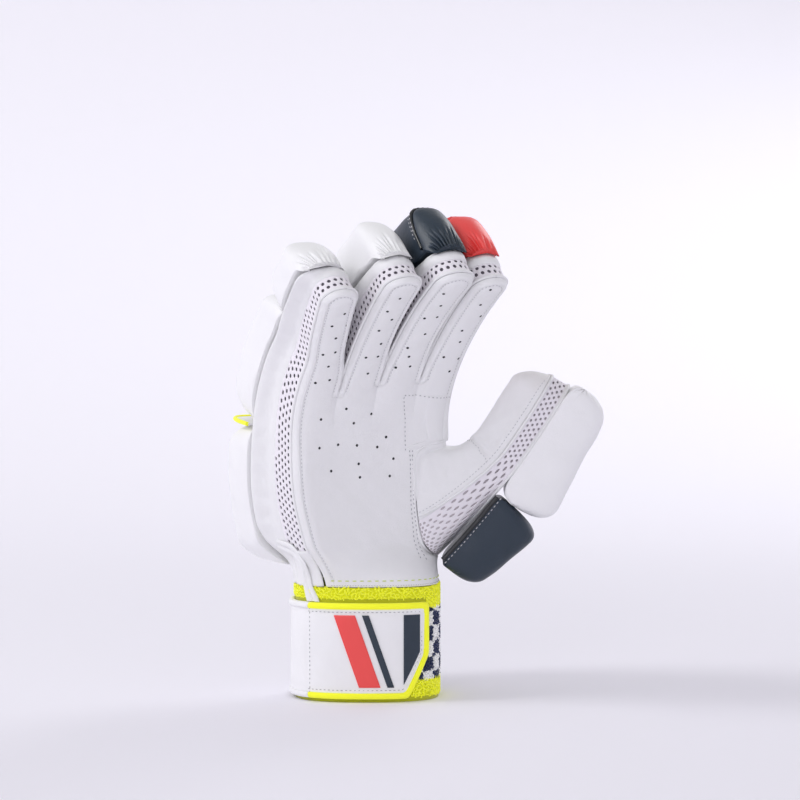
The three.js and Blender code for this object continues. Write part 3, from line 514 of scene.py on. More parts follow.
def modify(obj, kind, **settings):
    modifier = obj.modifiers.new(kind.lower(), kind)
    for key, value in settings.items():
        setattr(modifier, key, value)
    return modifier


def thicken(obj, thickness, offset=-1):
    modify(obj, "SOLIDIFY", thickness=thickness / 1000, offset=offset, use_rim=True)


def bake(obj):
    """Turns an object and its modifiers into a plain mesh."""
    bpy.context.view_layer.update()
    evaluated = obj.evaluated_get(bpy.context.evaluated_depsgraph_get())
    mesh = bpy.data.meshes.new_from_object(evaluated)
    old = obj.data
    obj.modifiers.clear()
    obj.data = mesh
    bpy.data.meshes.remove(old)
    mesh.name = obj.name
    return obj


def grow(obj, tree, **inputs):
    """Runs a tree of geometry nodes on an object and keeps the result as its mesh."""
    modifier = obj.modifiers.new(tree.name, "NODES")
    modifier.node_group = tree
    for item in tree.interface.items_tree:
        if item.item_type == "SOCKET" and item.in_out == "INPUT" and item.name in inputs:
            modifier[item.identifier] = inputs[item.name]
    return bake(obj)


def join(name, objects):
    """One piece from several meshes."""
    work = bmesh.new()
    materials = []
    for obj in objects:
        slots = []
        for material in obj.data.materials:
            if material not in materials:
                materials.append(material)
            slots.append(materials.index(material))
        start = len(work.faces)
        work.from_mesh(obj.data)
        work.faces.ensure_lookup_table()
        for face in work.faces[start:]:
            face.material_index = slots[face.material_index] if slots else 0
    mesh = bpy.data.meshes.new(name)
    work.to_mesh(mesh)
    work.free()
    for material in materials:
        mesh.materials.append(material)
    for obj in objects:
        bpy.data.objects.remove(obj)
    return new_object(name, mesh)


def keep(piece, slot, *nodes, padding=None):
    """Hangs a finished piece on the glove's body and hides the solids that it stands for."""
    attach(piece, "root")
    if nodes:
        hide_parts(*nodes)


# ---- Nodes ----


def add_node(tree, kind, inputs=(), **settings):
    """Adds a node with its settings, and sets or links its inputs by name or number."""
    node = tree.nodes.new(kind)
    for key, value in settings.items():
        setattr(node, key, value)
    for key, value in dict(inputs).items():
        if isinstance(value, bpy.types.NodeSocket):
            tree.links.new(value, node.inputs[key])
        else:
            node.inputs[key].default_value = value
    return node


def new_tree(name, sockets):
    """A geometry tree with named inputs, its group input and its group output."""
    tree = bpy.data.node_groups.new(name, "GeometryNodeTree")
    tree.interface.new_socket("Geometry", in_out="INPUT", socket_type="NodeSocketGeometry")
    for label, (kind, value) in sockets.items():
        socket = tree.interface.new_socket(label, in_out="INPUT", socket_type=kind)
        if value is not None:
            socket.default_value = value
    tree.interface.new_socket("Geometry", in_out="OUTPUT", socket_type="NodeSocketGeometry")
    return tree, tree.nodes.new("NodeGroupInput").outputs


def close_tree(tree, geometry, material):
    """Ends a tree: instances made real, shaded smooth, with the material set."""
    real = add_node(tree, "GeometryNodeRealizeInstances", {0: geometry})
    shaded = add_node(tree, "GeometryNodeSetShadeSmooth", {0: real.outputs[0]})
    painted = add_node(tree, "GeometryNodeSetMaterial", {0: shaded.outputs[0], 2: material})
    add_node(tree, "NodeGroupOutput", {0: painted.outputs[0]})
    return tree


LENGTH = "NodeSocketFloat"
MATERIAL = ("NodeSocketMaterial", None)


@cache
def stitch_tree():
    """Threads of one length along a path, with a gap between them."""
    tree, given = new_tree(
        "Stitches",
        {
            "Stitch": (LENGTH, 0.0016),
            "Gap": (LENGTH, 0.001),
            "Thread": (LENGTH, 0.0006),
            "Material": MATERIAL,
        },
    )
    pitch = add_node(tree, "ShaderNodeMath", {0: given["Stitch"], 1: given["Gap"]}, operation="ADD")
    curve = add_node(tree, "GeometryNodeMeshToCurve", {0: given["Geometry"]})
    spacing = {"Curve": curve.outputs[0], "Length": pitch.outputs[0]}
    spaced = add_node(tree, "GeometryNodeResampleCurve", spacing, mode="LENGTH")
    thread = add_node(tree, "GeometryNodeMeshUVSphere", {"Segments": 6, "Rings": 5, "Radius": 0.5})
    tangent = add_node(tree, "GeometryNodeInputTangent")
    turn = add_node(tree, "FunctionNodeAlignRotationToVector", {"Vector": tangent.outputs[0]}, axis="X")
    sizes = {0: given["Stitch"], 1: given["Thread"], 2: given["Thread"]}
    size = add_node(tree, "ShaderNodeCombineXYZ", sizes)
    sewn = add_node(
        tree,
        "GeometryNodeInstanceOnPoints",
        {
            "Points": spaced.outputs[0],
            "Instance": thread.outputs[0],
            "Rotation": turn.outputs[0],
            "Scale": size.outputs[0],
        },
    )
    return close_tree(tree, sewn.outputs[0], given["Material"])


@cache
def piping_tree():
    """A round cord along a path."""
    sockets = {"Radius": (LENGTH, 0.001), "Step": (LENGTH, 0.001), "Material": MATERIAL}
    tree, given = new_tree("Piping", sockets)
    curve = add_node(tree, "GeometryNodeMeshToCurve", {0: given["Geometry"]})
    spacing = {"Curve": curve.outputs[0], "Length": given["Step"]}
    spaced = add_node(tree, "GeometryNodeResampleCurve", spacing, mode="LENGTH")
    circle = {"Resolution": 10, "Radius": given["Radius"]}
    section = add_node(tree, "GeometryNodeCurvePrimitiveCircle", circle)
    tube = add_node(
        tree,
        "GeometryNodeCurveToMesh",
        {"Curve": spaced.outputs[0], "Profile Curve": section.outputs[0], "Fill Caps": True},
    )
    return close_tree(tree, tube.outputs[0], given["Material"])


@cache
def net_tree():
    """Knitted net: a hole in the middle of each face, whose rim is what is left of the face."""
    tree, given = new_tree("Net", {"Hole": (LENGTH, 0.55), "Material": MATERIAL})
    cells = add_node(tree, "GeometryNodeInputNamedAttribute", {"Name": "cell"}, data_type="BOOLEAN")
    inner = add_node(
        tree,
        "GeometryNodeExtrudeMesh",
        {"Mesh": given["Geometry"], "Selection": cells.outputs[0], "Offset Scale": 0.0, "Individual": True},
    )
    shrunk = add_node(
        tree,
        "GeometryNodeScaleElements",
        {"Geometry": inner.outputs["Mesh"], "Selection": inner.outputs["Top"], "Scale": given["Hole"]},
    )
    cut = add_node(
        tree,
        "GeometryNodeDeleteGeometry",
        {"Geometry": shrunk.outputs[0], "Selection": inner.outputs["Top"]},
        domain="FACE",
    )
    return close_tree(tree, cut.outputs[0], given["Material"])


@cache
def towel_tree():
    """Loops of yarn over a cloth: each stands on the cloth and leans its own way."""
    tree, given = new_tree(
        "Towelling",
        {
            "Spacing": (LENGTH, 0.0012),
            "Loop": (LENGTH, 0.00085),
            "Yarn": (LENGTH, 0.00036),
            "Seed": ("NodeSocketInt", 3),
            "Material": MATERIAL,
        },
    )
    spread = add_node(
        tree,
        "GeometryNodeDistributePointsOnFaces",
        {
            "Mesh": given["Geometry"],
            "Distance Min": given["Spacing"],
            "Density Max": 2e6,
            "Seed": given["Seed"],
        },
        distribute_method="POISSON",
    )
    sweep = {"Resolution": 5, "Radius": given["Loop"], "Start Angle": -0.5, "Sweep Angle": 4.1}
    arc = add_node(tree, "GeometryNodeCurveArc", sweep)
    section = add_node(tree, "GeometryNodeCurvePrimitiveCircle", {"Resolution": 4, "Radius": given["Yarn"]})
    loop = add_node(
        tree, "GeometryNodeCurveToMesh", {"Curve": arc.outputs[0], "Profile Curve": section.outputs[0]}
    )
    upright = add_node(
        tree, "GeometryNodeTransform", {"Geometry": loop.outputs[0], "Rotation": (math.radians(90), 0, 0)}
    )
    turns = {"Min": (-0.5, -0.5, 0), "Max": (0.5, 0.5, 6.3)}
    yaw = add_node(tree, "FunctionNodeRandomValue", turns, data_type="FLOAT_VECTOR")
    turned = add_node(
        tree,
        "FunctionNodeRotateRotation",
        {0: spread.outputs["Rotation"], 1: yaw.outputs[0]},
        rotation_space="LOCAL",
    )
    loops = add_node(
        tree,
        "GeometryNodeInstanceOnPoints",
        {"Points": spread.outputs["Points"], "Instance": upright.outputs[0], "Rotation": turned.outputs[0]},
    )
    both = add_node(tree, "GeometryNodeJoinGeometry")
    tree.links.new(loops.outputs[0], both.inputs[0])
    tree.links.new(given["Geometry"], both.inputs[0])
    return close_tree(tree, both.outputs[0], given["Material"])


@cache
def hole_tree():
    """Punched holes: a dark disc of painted shade at each point, lying on the surface there."""
    tree, given = new_tree("Perforations", {"Radius": (LENGTH, 0.0006), "Material": MATERIAL})
    disc = add_node(
        tree, "GeometryNodeMeshCircle", {"Vertices": 12, "Radius": given["Radius"]}, fill_type="TRIANGLE_FAN"
    )
    way = add_node(tree, "GeometryNodeInputNamedAttribute", {"Name": "way"}, data_type="FLOAT_VECTOR")
    turn = add_node(tree, "FunctionNodeAlignRotationToVector", {"Vector": way.outputs[0]}, axis="Z")
    holes = add_node(
        tree,
        "GeometryNodeInstanceOnPoints",
        {"Points": given["Geometry"], "Instance": disc.outputs[0], "Rotation": turn.outputs[0]},
    )
    return close_tree(tree, holes.outputs[0], given["Material"])


def along(name, paths, tree, material, **sizes):
    """Runs a tree along paths, with its sizes in millimetres."""
    metres = {key: size / 1000 for key, size in sizes.items()}
    return grow(path_object(name, paths), tree, Material=material, **metres)


def stitches(name, paths, material, stitch, gap, thread):
    return along(name, paths, stitch_tree(), material, Stitch=stitch, Gap=gap, Thread=thread)


def piping(name, paths, material, radius, step=1.0):
    return along(name, paths, piping_tree(), material, Radius=radius, Step=step)


# ---- Materials ----


def linear(colour):
    """The linear colour of an sRGB hex value."""
    parts = [int(colour[i : i + 2], 16) / 255 for i in (0, 2, 4)]
    return (*(c / 12.92 if c <= 0.04045 else ((c + 0.055) / 1.055) ** 2.4 for c in parts), 1)


MADE = {}


def finish(name, colour, roughness, sheen=0.0, coat=0.0, mottle=0.03, grains=(), painted_glow=0.0):
    """A principled material. grains are (millimetres, depth in millimetres, kind) of its surface."""
    if name in MADE:
        return MADE[name]
    material = bpy.data.materials.new(name)
    material.use_nodes = True
    tree = material.node_tree
    shader = tree.nodes["Principled BSDF"]
    place = add_node(tree, "ShaderNodeTexCoord").outputs["Object"]
    colour = linear(colour) if isinstance(colour, str) else colour
    shader.inputs["IOR"].default_value = 1.5
    shader.inputs["Sheen Weight"].default_value = sheen
    shader.inputs["Coat Weight"].default_value = coat
    # Emission in the material's own colour: painted light, a glow on a part that is no lamp
    shader.inputs["Emission Color"].default_value = colour
    shader.inputs["Emission Strength"].default_value = painted_glow
    cloud = add_node(tree, "ShaderNodeTexNoise", {"Vector": place, "Scale": 60.0, "Detail": 4.0})
    paler, darker = [tuple(min(c * k, 1) for c in colour[:3]) + (1,) for k in (1 + mottle, 1 - mottle)]
    shade = add_node(tree, "ShaderNodeMix", {0: cloud.outputs[0], 6: darker, 7: paler}, data_type="RGBA")
    tree.links.new(shade.outputs[2], shader.inputs["Base Color"])
    matt = add_node(
        tree, "ShaderNodeMapRange", {0: cloud.outputs[0], 3: roughness - 0.05, 4: min(roughness + 0.05, 1)}
    )
    tree.links.new(matt.outputs[0], shader.inputs["Roughness"])
    normal = None
    for size, depth, kind in grains:
        pattern = {"Vector": place, "Scale": 1000 / size}
        if kind == "cells":
            grain = add_node(tree, "ShaderNodeTexVoronoi", pattern)
        else:
            grain = add_node(tree, "ShaderNodeTexNoise", {**pattern, "Detail": 3.0})
        bump = add_node(tree, "ShaderNodeBump", {"Height": grain.outputs[0], "Distance": depth / 1000})
        if normal:
            tree.links.new(normal, bump.inputs["Normal"])
        normal = bump.outputs[0]
    if normal:
        tree.links.new(normal, shader.inputs["Normal"])
    MADE[name] = material
    return material


def settings():
    return bpy.context.scene.glove


def palm_leather():
    # Drummed sheepskin, dyed white and rolled smooth: soft, nearly matt, with pores half a millimetre wide
    return finish("white_sheepskin", settings().white, 0.55, grains=[(0.6, 0.05, "cells"), (9, 0.5, "noise")])


def roll_leather(colour_name):
    # Polished coated leather over foam: smoother than the palm, with a soft sheen of light
    colour = getattr(settings(), colour_name)
    names = {"pad_white": "white_coated_leather", "navy": "navy_coated_leather", "red": "red_coated_leather"}
    return finish(names[colour_name], colour, 0.42, grains=[(0.9, 0.03, "cells"), (7, 0.35, "noise")])


def net_knit():
    # Polyester spacer mesh: matt yarn with a faint lilac cast
    return finish("polyester_spacer_mesh", settings().mesh, 0.85, sheen=0.3, grains=[(0.5, 0.12, "noise")])


def lining():
    # Brushed nylon lining behind the mesh; its grey is painted shade, the dimness seen through the mesh's
    # holes
    return finish("brushed_nylon_lining", settings().lining, 0.95, mottle=0.1)


def pale_lining():
    # The thumb's brushed nylon lining, paler than the fingers'; its grey is painted shade seen through the
    # mesh's holes
    return finish("brushed_nylon_lining_pale", "bab3b8", 0.95, mottle=0.1)


def hole_shade():
    # Painted shade: a dark disc stands for the shadowed inside of a punched hole
    return finish("punched_hole", "38383c", 0.95)


THREADS = {"white": "c9c9cd", "grey": "a9a9ae", "lime": "cfe04a"}


def thread(name):
    # Bonded nylon thread: slightly glossy, twisted
    return finish(f"nylon_thread_{name}", THREADS[name], 0.5, grains=[(0.3, 0.05, "noise")])


def cord_skin():
    # Vinyl piping: black and smooth enough to catch the light along its top
    return finish("black_vinyl_piping", "171b1f", 0.3, coat=0.2)


def edge_tape(colour="lime"):
    # Woven polyester edge tape, matt, with fine ribs; the lime dye is fluorescent, and its faint glow is
    # painted light
    painted_glow = 0.15 if colour == "lime" else 0.0
    name = f"polyester_tape_{colour}"
    return finish(name, getattr(settings(), colour), 0.75, sheen=0.2, grains=[(0.7, 0.1, "noise")], painted_glow=painted_glow)


def trim(colour):
    # Thin coated leather, stitched and pressed flat: smoother and glossier than the palm's
    dye = getattr(settings(), colour)
    return finish(f"{colour}_pressed_leather", dye, 0.4, grains=[(0.7, 0.04, "cells")])


def towel(name, colour, painted_glow=0.0):
    # Cotton terry towelling: very matt yarn with a soft sheen at its rim; the lime dye is fluorescent. A
    # glow, where given, is painted light
    return finish(name, colour, 0.95, sheen=0.4, mottle=0.08, grains=[(0.5, 0.15, "noise")], painted_glow=painted_glow)


def check_towel():
    """White towelling with navy checks, by the cloth's own millimetres."""
    # The checked towelling glows faintly: painted light that brightens it
    material = towel("checked_terry", "fbfbfd", 0.1)
    tree = material.node_tree
    cloth = add_node(tree, "ShaderNodeAttribute", attribute_name="cloth").outputs["Vector"]
    noise = add_node(tree, "ShaderNodeTexNoise", {"Vector": cloth, "Scale": 0.7})
    nudge = {0: noise.outputs["Color"], 1: (0.5, 0.5, 0.0)}
    moved = add_node(tree, "ShaderNodeVectorMath", nudge, operation="MULTIPLY")
    place = add_node(tree, "ShaderNodeVectorMath", {0: cloth, 1: moved.outputs[0]}, operation="ADD")
    side = CUFF_RUN[-1] / round(CUFF_RUN[-1] / 2000 / settings().check) / 2
    checks = add_node(
        tree,
        "ShaderNodeTexChecker",
        {
            "Vector": place.outputs[0],
            "Scale": 1 / side,
            "Color1": tuple(settings().towel_navy),
            "Color2": (1, 1, 1, 1),
        },
    )
    shader = tree.nodes["Principled BSDF"]
    yarn = shader.inputs["Base Color"].links[0].from_socket
    dyes = {0: 1.0, 6: yarn, 7: checks.outputs[0]}
    both = add_node(tree, "ShaderNodeMix", dyes, data_type="RGBA", blend_type="MULTIPLY")
    tree.links.new(both.outputs[2], shader.inputs["Base Color"])
    # The painted glow takes the checks' colours, so the navy checks stay dark
    tree.links.new(both.outputs[2], shader.inputs["Emission Color"])
    return material


def backdrop():
    # Matt paper that glows: painted light, stronger with distance and towards the back and sides, so that it
    # is paler than the floor
    paper = finish("matt_paper_backdrop", "f2f0f8", 0.95, mottle=0.003)
    tree = paper.node_tree
    place = add_node(tree, "ShaderNodeTexCoord").outputs["Object"]
    far = add_node(tree, "ShaderNodeVectorMath", {0: place}, operation="LENGTH")
    behind = add_node(tree, "ShaderNodeVectorMath", {0: place, 1: (-0.05, 1.06, 0)}, operation="DOT_PRODUCT")
    outer = {0: far.outputs["Value"], 1: 0.35, 2: 2.2, 3: 0.0, 4: 0.22}
    painted_glow = add_node(tree, "ShaderNodeMapRange", outer, interpolation_type="SMOOTHSTEP")
    rear = {0: behind.outputs["Value"], 1: -2.0, 2: 1.0, 3: 0.0, 4: 1.0}
    side = add_node(tree, "ShaderNodeMapRange", rear, interpolation_type="SMOOTHSTEP")
    both = add_node(tree, "ShaderNodeMath", {0: painted_glow.outputs[0], 1: side.outputs[0]}, operation="MULTIPLY")
    shader = tree.nodes["Principled BSDF"]
    shader.inputs["Emission Color"].default_value = linear("f9f7ff")
    tree.links.new(both.outputs[0], shader.inputs["Emission Strength"])
    return paper


# ---- The add-on's settings ----


def size_setting(name, description, default, low, high):
    return bpy.props.FloatProperty(
        name=name, description=description, default=default / 1000, min=low / 1000, max=high / 1000,
        subtype="DISTANCE", unit="LENGTH", precision=4,
    )


def colour_setting(name, description, default):
    return bpy.props.FloatVectorProperty(
        name=name, description=description, default=linear(default), size=4, min=0, max=1, subtype="COLOR"
    )


class GloveSettings(bpy.types.PropertyGroup):
    """Sizes and colours of the glove's finish."""

    white: colour_setting("Palm leather", "Colour of the palm's leather", "eeeeef")
    pad_white: colour_setting("White pads", "Colour of the white rolls", "f4f4f5")
    navy: colour_setting("Navy pads", "Colour of the navy leather", "243240")
    red: colour_setting("Red pads", "Colour of the red leather", "f44e4c")
    lime: colour_setting("Lime trim", "Colour of the lime tape and towelling", "f4f826")
    mesh: colour_setting("Mesh", "Colour of the mesh", "efebf1")
    # The lining's grey is painted shade, the dimness behind the mesh
    lining: colour_setting("Lining", "Colour behind the mesh", "716c76")
    towel_navy: colour_setting("Navy towelling", "Colour of the navy checks", "22305a")
    perforation: size_setting("Perforation", "Diameter of a punched hole", 1.5, 0.6, 2.5)
    net_pitch: size_setting("Mesh pitch", "Space between two holes of the mesh", 3.6, 2, 6)
    net_hole: bpy.props.FloatProperty(
        name="Mesh hole",
        description="Share of a cell that is hole",
        default=0.5,
        min=0.2,
        max=0.8,
        subtype="FACTOR",
    )
    towel_pitch: size_setting("Towel loops", "Space between two loops of yarn", 1.25, 0.8, 2.5)
    check: size_setting("Check", "Side of a check on the towelling", 8, 4, 12)


# ---- Pieces ----


def leather_sheet(name, list_of_grids, inside, thickness, *nodes):
    """A finished piece of the palm's leather, whose faces look away from a point inside the glove."""
    piece = mesh_object(name, *grids(list_of_grids), [palm_leather()], outside=inside)
    thicken(piece, thickness)
    keep(piece, "white_leather", *nodes)


# Columns across a finger's sheet, close together near its edges, and rows up it, close together round its tip
EDGE_COLUMNS = np.concatenate([np.linspace(1, 0.62, 14), np.linspace(0.56, 0.0, 8)])
COLUMNS = np.concatenate([-EDGE_COLUMNS, EDGE_COLUMNS[::-1][1:]])
TIP_ROWS = [*np.linspace(0, 0.78, 14), 0.83, 0.87, 0.9, 0.925, 0.945, 0.96, 0.972, 0.982, 0.99]
ROWS = np.concatenate([np.linspace(0, 1, 116)[:-1], np.linspace(1, 2, 81)[:-1], 2 + np.array(TIP_ROWS)])

# Punched holes: finger, row and place across
HOLES = [
    (RING, 0.899, -0.5), (RING, 0.834, 0.88), (LITTLE, 0.839, 0.23), (RING, 0.81, -0.02),
    (MIDDLE, 0.709, -0.27), (RING, 0.68, -0.65), (RING, 0.674, 0.53), (MIDDLE, 0.662, 0.0),
    (LITTLE, 0.668, 0.4), (INDEX, 0.603, -0.4), (MIDDLE, 0.585, -0.7), (RING, 0.556, -0.6),
    (MIDDLE, 0.52, -0.62), (INDEX, 0.52, -0.62), (LITTLE, 1.898, 0.3), (LITTLE, 1.732, 0.65),
    (LITTLE, 1.738, -0.25), (LITTLE, 1.596, 0.1), (LITTLE, 1.372, -0.4), (LITTLE, 1.431, 0.23),
    (LITTLE, 1.253, -0.02), (LITTLE, 1.029, -0.47), (LITTLE, 1.106, 0.18), (RING, 1.939, -0.1),
    (RING, 1.785, -0.35), (RING, 1.691, 0.12), (RING, 1.578, -0.3), (RING, 1.431, 0.15),
    (RING, 1.301, -0.35), (RING, 1.295, 0.28), (RING, 1.135, 0.07), (MIDDLE, 2.45, -0.17),
    (MIDDLE, 1.933, -0.42), (MIDDLE, 1.791, -0.12), (MIDDLE, 1.632, -0.47), (MIDDLE, 1.649, 0.15),
    (MIDDLE, 1.466, 0.03), (MIDDLE, 1.324, -0.5), (MIDDLE, 1.241, -0.22), (MIDDLE, 1.147, 0.07),
    (MIDDLE, 1.135, -0.6), (INDEX, 2.25, -0.2), (INDEX, 1.856, -0.12), (INDEX, 1.703, 0.38),
    (INDEX, 1.537, -0.22), (INDEX, 1.407, 0.03), (INDEX, 1.236, -0.4), (INDEX, 1.212, 0.5),
    (INDEX, 1.088, 0.25),
]
# The patch's corner and the thumb's two seams, x across and s up the palm in millimetres
PATCH_LINE = [(12.9, 71), (11.4, 87), (7.9, 101), (21, 100), (36.5, 98.5)]
THUMB_SEAMS = [
    [(15.6, 70), (16.2, 66), (16.9, 54), (17.2, 42), (18.4, 28), (18.6, 20), (16.8, 14)],
    [(17.3, 70), (17.6, 66), (18.2, 54), (18.9, 42), (20.3, 28), (21, 21), (20.4, 13)],
]
# The patch's lowest and highest row and its two ends across, on the index finger's sheet, and its thickness
PATCH_LOW, PATCH_HIGH, PATCH_LEFT, PATCH_RIGHT, PATCH_THICKNESS = 0.645, 0.915, -1, 0.86, 0.42
# Heights of the wrist's two rows of stitches
WRIST_ROW, WRIST_EDGE_ROW = 3.3, 0.9
ENDS = [0] + [row["end"] for row in FINGERS]


def on_palm(line, lift, step=1.0):
    """A path on the palm leather through x across and s up it."""
    line = np.array(line, float)
    run = running(np.hypot(*np.diff(line, axis=0).T))
    even = np.linspace(0, run[-1], max(int(run[-1] / step), 2))
    x, s = np.interp(even, run, line[:, 0]), np.interp(even, run, line[:, 1])
    left, right = hand_edge(0, s, True), hand_edge(1, s, True)
    share = np.clip((x - left) / (right - left), 0, 0.999)
    index = np.searchsorted(ENDS, share, "right") - 1
    path = np.zeros((len(x), 3))
    for number in range(4):
        chosen = index == number
        if not chosen.any():
            continue
        t = (share[chosen] - ENDS[number]) / (ENDS[number + 1] - ENDS[number]) * 2 - 1
        v = s[chosen] / PALM_LENGTH
        for _ in range(4):
            heights, _ = sheet_rows(number, v)
            v = v * s[chosen] / mix(heights[:, 0], heights[:, 1], (t + 1) / 2)
        path[chosen] = along_palm(number, v, t, lift)
    return path


def hem_line(index, inset, lift):
    """A path along a finger's hem, at an inset from its edge, up one side, round its tip and down."""
    row = FINGERS[index]
    sides = []
    for side in (-1, 1):
        outer = border_of(index, side) in (-1, INDEX)
        low = (0.05 if side < 0 else CROTCH) if outer else 1
        v = np.linspace(low, 2, 120)
        half = sheet_point(index, *sheet_rows(index, v), np.array([side]), True)[3][:, 0]
        t = side * (1 - inset / half)
        if not outer:
            v, t = np.concatenate([[1 - inset / PALM_LENGTH], v]), np.concatenate([[side], t])
        sides.append((v, t))
    angle = np.radians(np.linspace(0, 90, 16)[1:])
    reach = 1 - inset / row["half"]
    turn = np.arcsin(reach * np.sin(angle))
    t = reach * np.cos(angle) / np.cos(turn)
    v = 2 + turn / (np.pi / 2)
    whole_v = np.concatenate([sides[0][0], v, v[::-1], sides[1][0][::-1]])
    whole_t = np.concatenate([sides[0][1], -t, t[::-1], sides[1][1][::-1]])
    return along_palm(index, whole_v, whole_t, lift)


class GLOVE_OT_palm(bpy.types.Operator):
    """Palm and finger fronts: one leather with rolled hems, punched holes and a stitched patch"""

    bl_idname = "glove.palm"
    bl_label = "Palm leather"

    def execute(self, context):
        given = settings()
        fronts = [palm_skin(index, ROWS, COLUMNS) for index in range(4)]
        leather_sheet("palm_skin", fronts, [0, 40, 150], LEATHER, "palm_leather")
        backs = [back_surface(index, *sheet_rows(index, ROWS), COLUMNS) for index in range(4)]
        leather_sheet("back_skin", backs, [0, -60, 150], LEATHER, "back_leather")
        # Punched holes
        places, ways = [], []
        for index, v, t in HOLES:
            spot, up, side = along_palm(index, [v, v + 0.01, v], [t, t, t + 0.02], 0.04)
            places.append(spot)
            way = np.cross(side - spot, up - spot)
            ways.append(way / np.linalg.norm(way))
        dots = mesh_object("palm_holes", places, [], merge=0, marks=[("way", "FLOAT_VECTOR", "POINT", ways)])
        holes = grow(dots, hole_tree(), Radius=given.perforation / 2, Material=hole_shade())
        keep(holes, "white_leather")
        # A bound edge round the thumb's hole
        hole = along_palm(INDEX, np.linspace(0.127, 0.72, 70), np.full(70, 0.995), -0.5)
        keep(piping("thumb_hole_edge", [hole], palm_leather(), 1.0), "white_leather")
        # Stitches
        white, grey = thread("white"), thread("grey")
        wrist = np.array(WRIST_ROW)
        ends = [float(hand_edge(0, wrist, True)) + 3, float(hand_edge(1, wrist, True)) - 1]
        hems = [hem_line(index, WELT + 0.6, 0.15) for index in range(4)]
        hem = stitches("hem_stitches", hems, white, 1.1, 0.9, 0.4)
        by_thumb = [on_palm(line, 0.1) for line in THUMB_SEAMS]
        seams = stitches("thumb_seam_stitches", by_thumb, grey, 1.3, 1.0, 0.45)
        patch = stitches("patch_stitches", [on_palm(PATCH_LINE, 0.45)], grey, 1.1, 1.3, 0.42)
        row = [on_palm([(x, WRIST_ROW) for x in ends], 0.15)]
        lime = stitches("wrist_stitches", row, thread("lime"), 2.4, 1.4, 0.5)
        edge = [on_palm([(x, WRIST_EDGE_ROW) for x in ends], 0.15)]
        fine = stitches("wrist_edge_stitches", edge, white, 0.7, 0.7, 0.5)
        keep(join("palm_stitches", [hem, seams, patch, lime, fine]), "white_leather")
        # The patch is a second leather that the stitches hold, thin at its edges
        rows = np.linspace(PATCH_LOW, PATCH_HIGH, 40)
        across = np.linspace(PATCH_LEFT, PATCH_RIGHT, 26)[None, :]
        start = np.interp(rows, [PATCH_LOW, 0.79, PATCH_HIGH], [-0.05, -0.42, -0.6])
        t = mix(start[:, None], 0.84, (across - PATCH_LEFT) / (PATCH_RIGHT - PATCH_LEFT))
        up = rows[:, None]
        sides = [(across - PATCH_LEFT) * 8, (PATCH_RIGHT - across) * 8]
        sides += [(PATCH_HIGH - up) * 90, (up - PATCH_LOW) * 60]
        away = np.minimum.reduce(np.broadcast_arrays(*sides))
        lift = PATCH_THICKNESS * smooth(away / 1.2) - 0.06
        lines = zip(rows[:, None], t[:, None], lift[:, None])
        grid = np.stack([palm_skin(INDEX, v, place, height)[0] for v, place, height in lines])
        leather_sheet("patch_leather", [grid], [0, 40, 150], 0.4, "palm_patch")
        return {"FINISHED"}


LINING_DEPTH = 1.2


def facing(grid, inside):
    """The direction out of a grid's surface at each point, away from a point inside it."""
    way = np.cross(np.gradient(grid, axis=0), np.gradient(grid, axis=1))
    way /= np.linalg.norm(way, axis=-1, keepdims=True)
    return way * np.sign(np.sum(way * (grid - inside)))


def net(name, place, length, share_low, share_high, aspect=1.05, shrink=1.0, behind=lining):
    """A knitted net over a wall: six-sided cells, open in their middles, with a lining behind them whose grey
    is painted shade, and a leather hem along its edges. aspect is a cell's height for its width."""
    given = settings()
    pitch = given.net_pitch * 1000 * shrink
    step = pitch * aspect
    u = np.linspace(0, length, int(length / 2))
    across = np.linspace(share_low, share_high, 17)
    wide = np.linalg.norm(np.diff(place(u[:, None], across[None, :]), axis=1), axis=-1).sum(1)
    columns, levels = np.arange(int(length / pitch) + 2), np.arange(int(wide.max() / step) + 2)
    i, j = np.meshgrid(columns, levels, indexing="ij")
    corners = np.array([(0, 2 / 3), (0.5, 1 / 3), (0.5, -1 / 3), (0, -2 / 3), (-0.5, -1 / 3), (-0.5, 1 / 3)])
    centre_u, centre_v = (i + 0.5 * (j % 2)) * pitch, j * step
    run = np.clip(centre_u[..., None] + corners[:, 0] * pitch, 0, length)
    share = np.clip((centre_v[..., None] + corners[:, 1] * step) / np.interp(run, u, wide), 0, 1)
    kept = (np.ptp(share, axis=-1) > 0.01) & (np.ptp(run, axis=-1) > 0.4)
    middle = centre_v / np.interp(centre_u, u, wide)
    cell = (middle > 0.07) & (middle < 0.93) & (centre_u > 1.5) & (centre_u < length - 1.5)
    points = place(run, mix(share_low, share_high, share))[kept].reshape(-1, 3)
    faces = np.arange(len(points)).reshape(-1, 6)
    marks = [("cell", "BOOLEAN", "FACE", cell[kept])]
    sheet = mesh_object(f"net_{name}", points, faces, merge=0.05, marks=marks)
    aim_out(sheet)
    sheet = grow(sheet, net_tree(), Hole=given.net_hole * shrink, Material=net_knit())
    thicken(sheet, MESH / 2)
    modify(sheet, "SUBSURF", levels=1, render_levels=1)
    sheet = bake(sheet)
    rows = np.linspace(0, length, int(length / 1.5))
    under = mesh_object("lining", *grids([place(rows[:, None], across[None, :], -LINING_DEPTH)]), [behind()])
    aim_out(under)
    run = np.arange(1.5, length - 1.5, 1.0)
    hems = [place(run, share_low, 0.1)] + ([place(run, share_high, 0.1)] if share_high > 1 else [])
    edge = piping("hem", hems, palm_leather(), 0.85)
    return join(f"net_{name}", [sheet, under, edge])


CORE = []


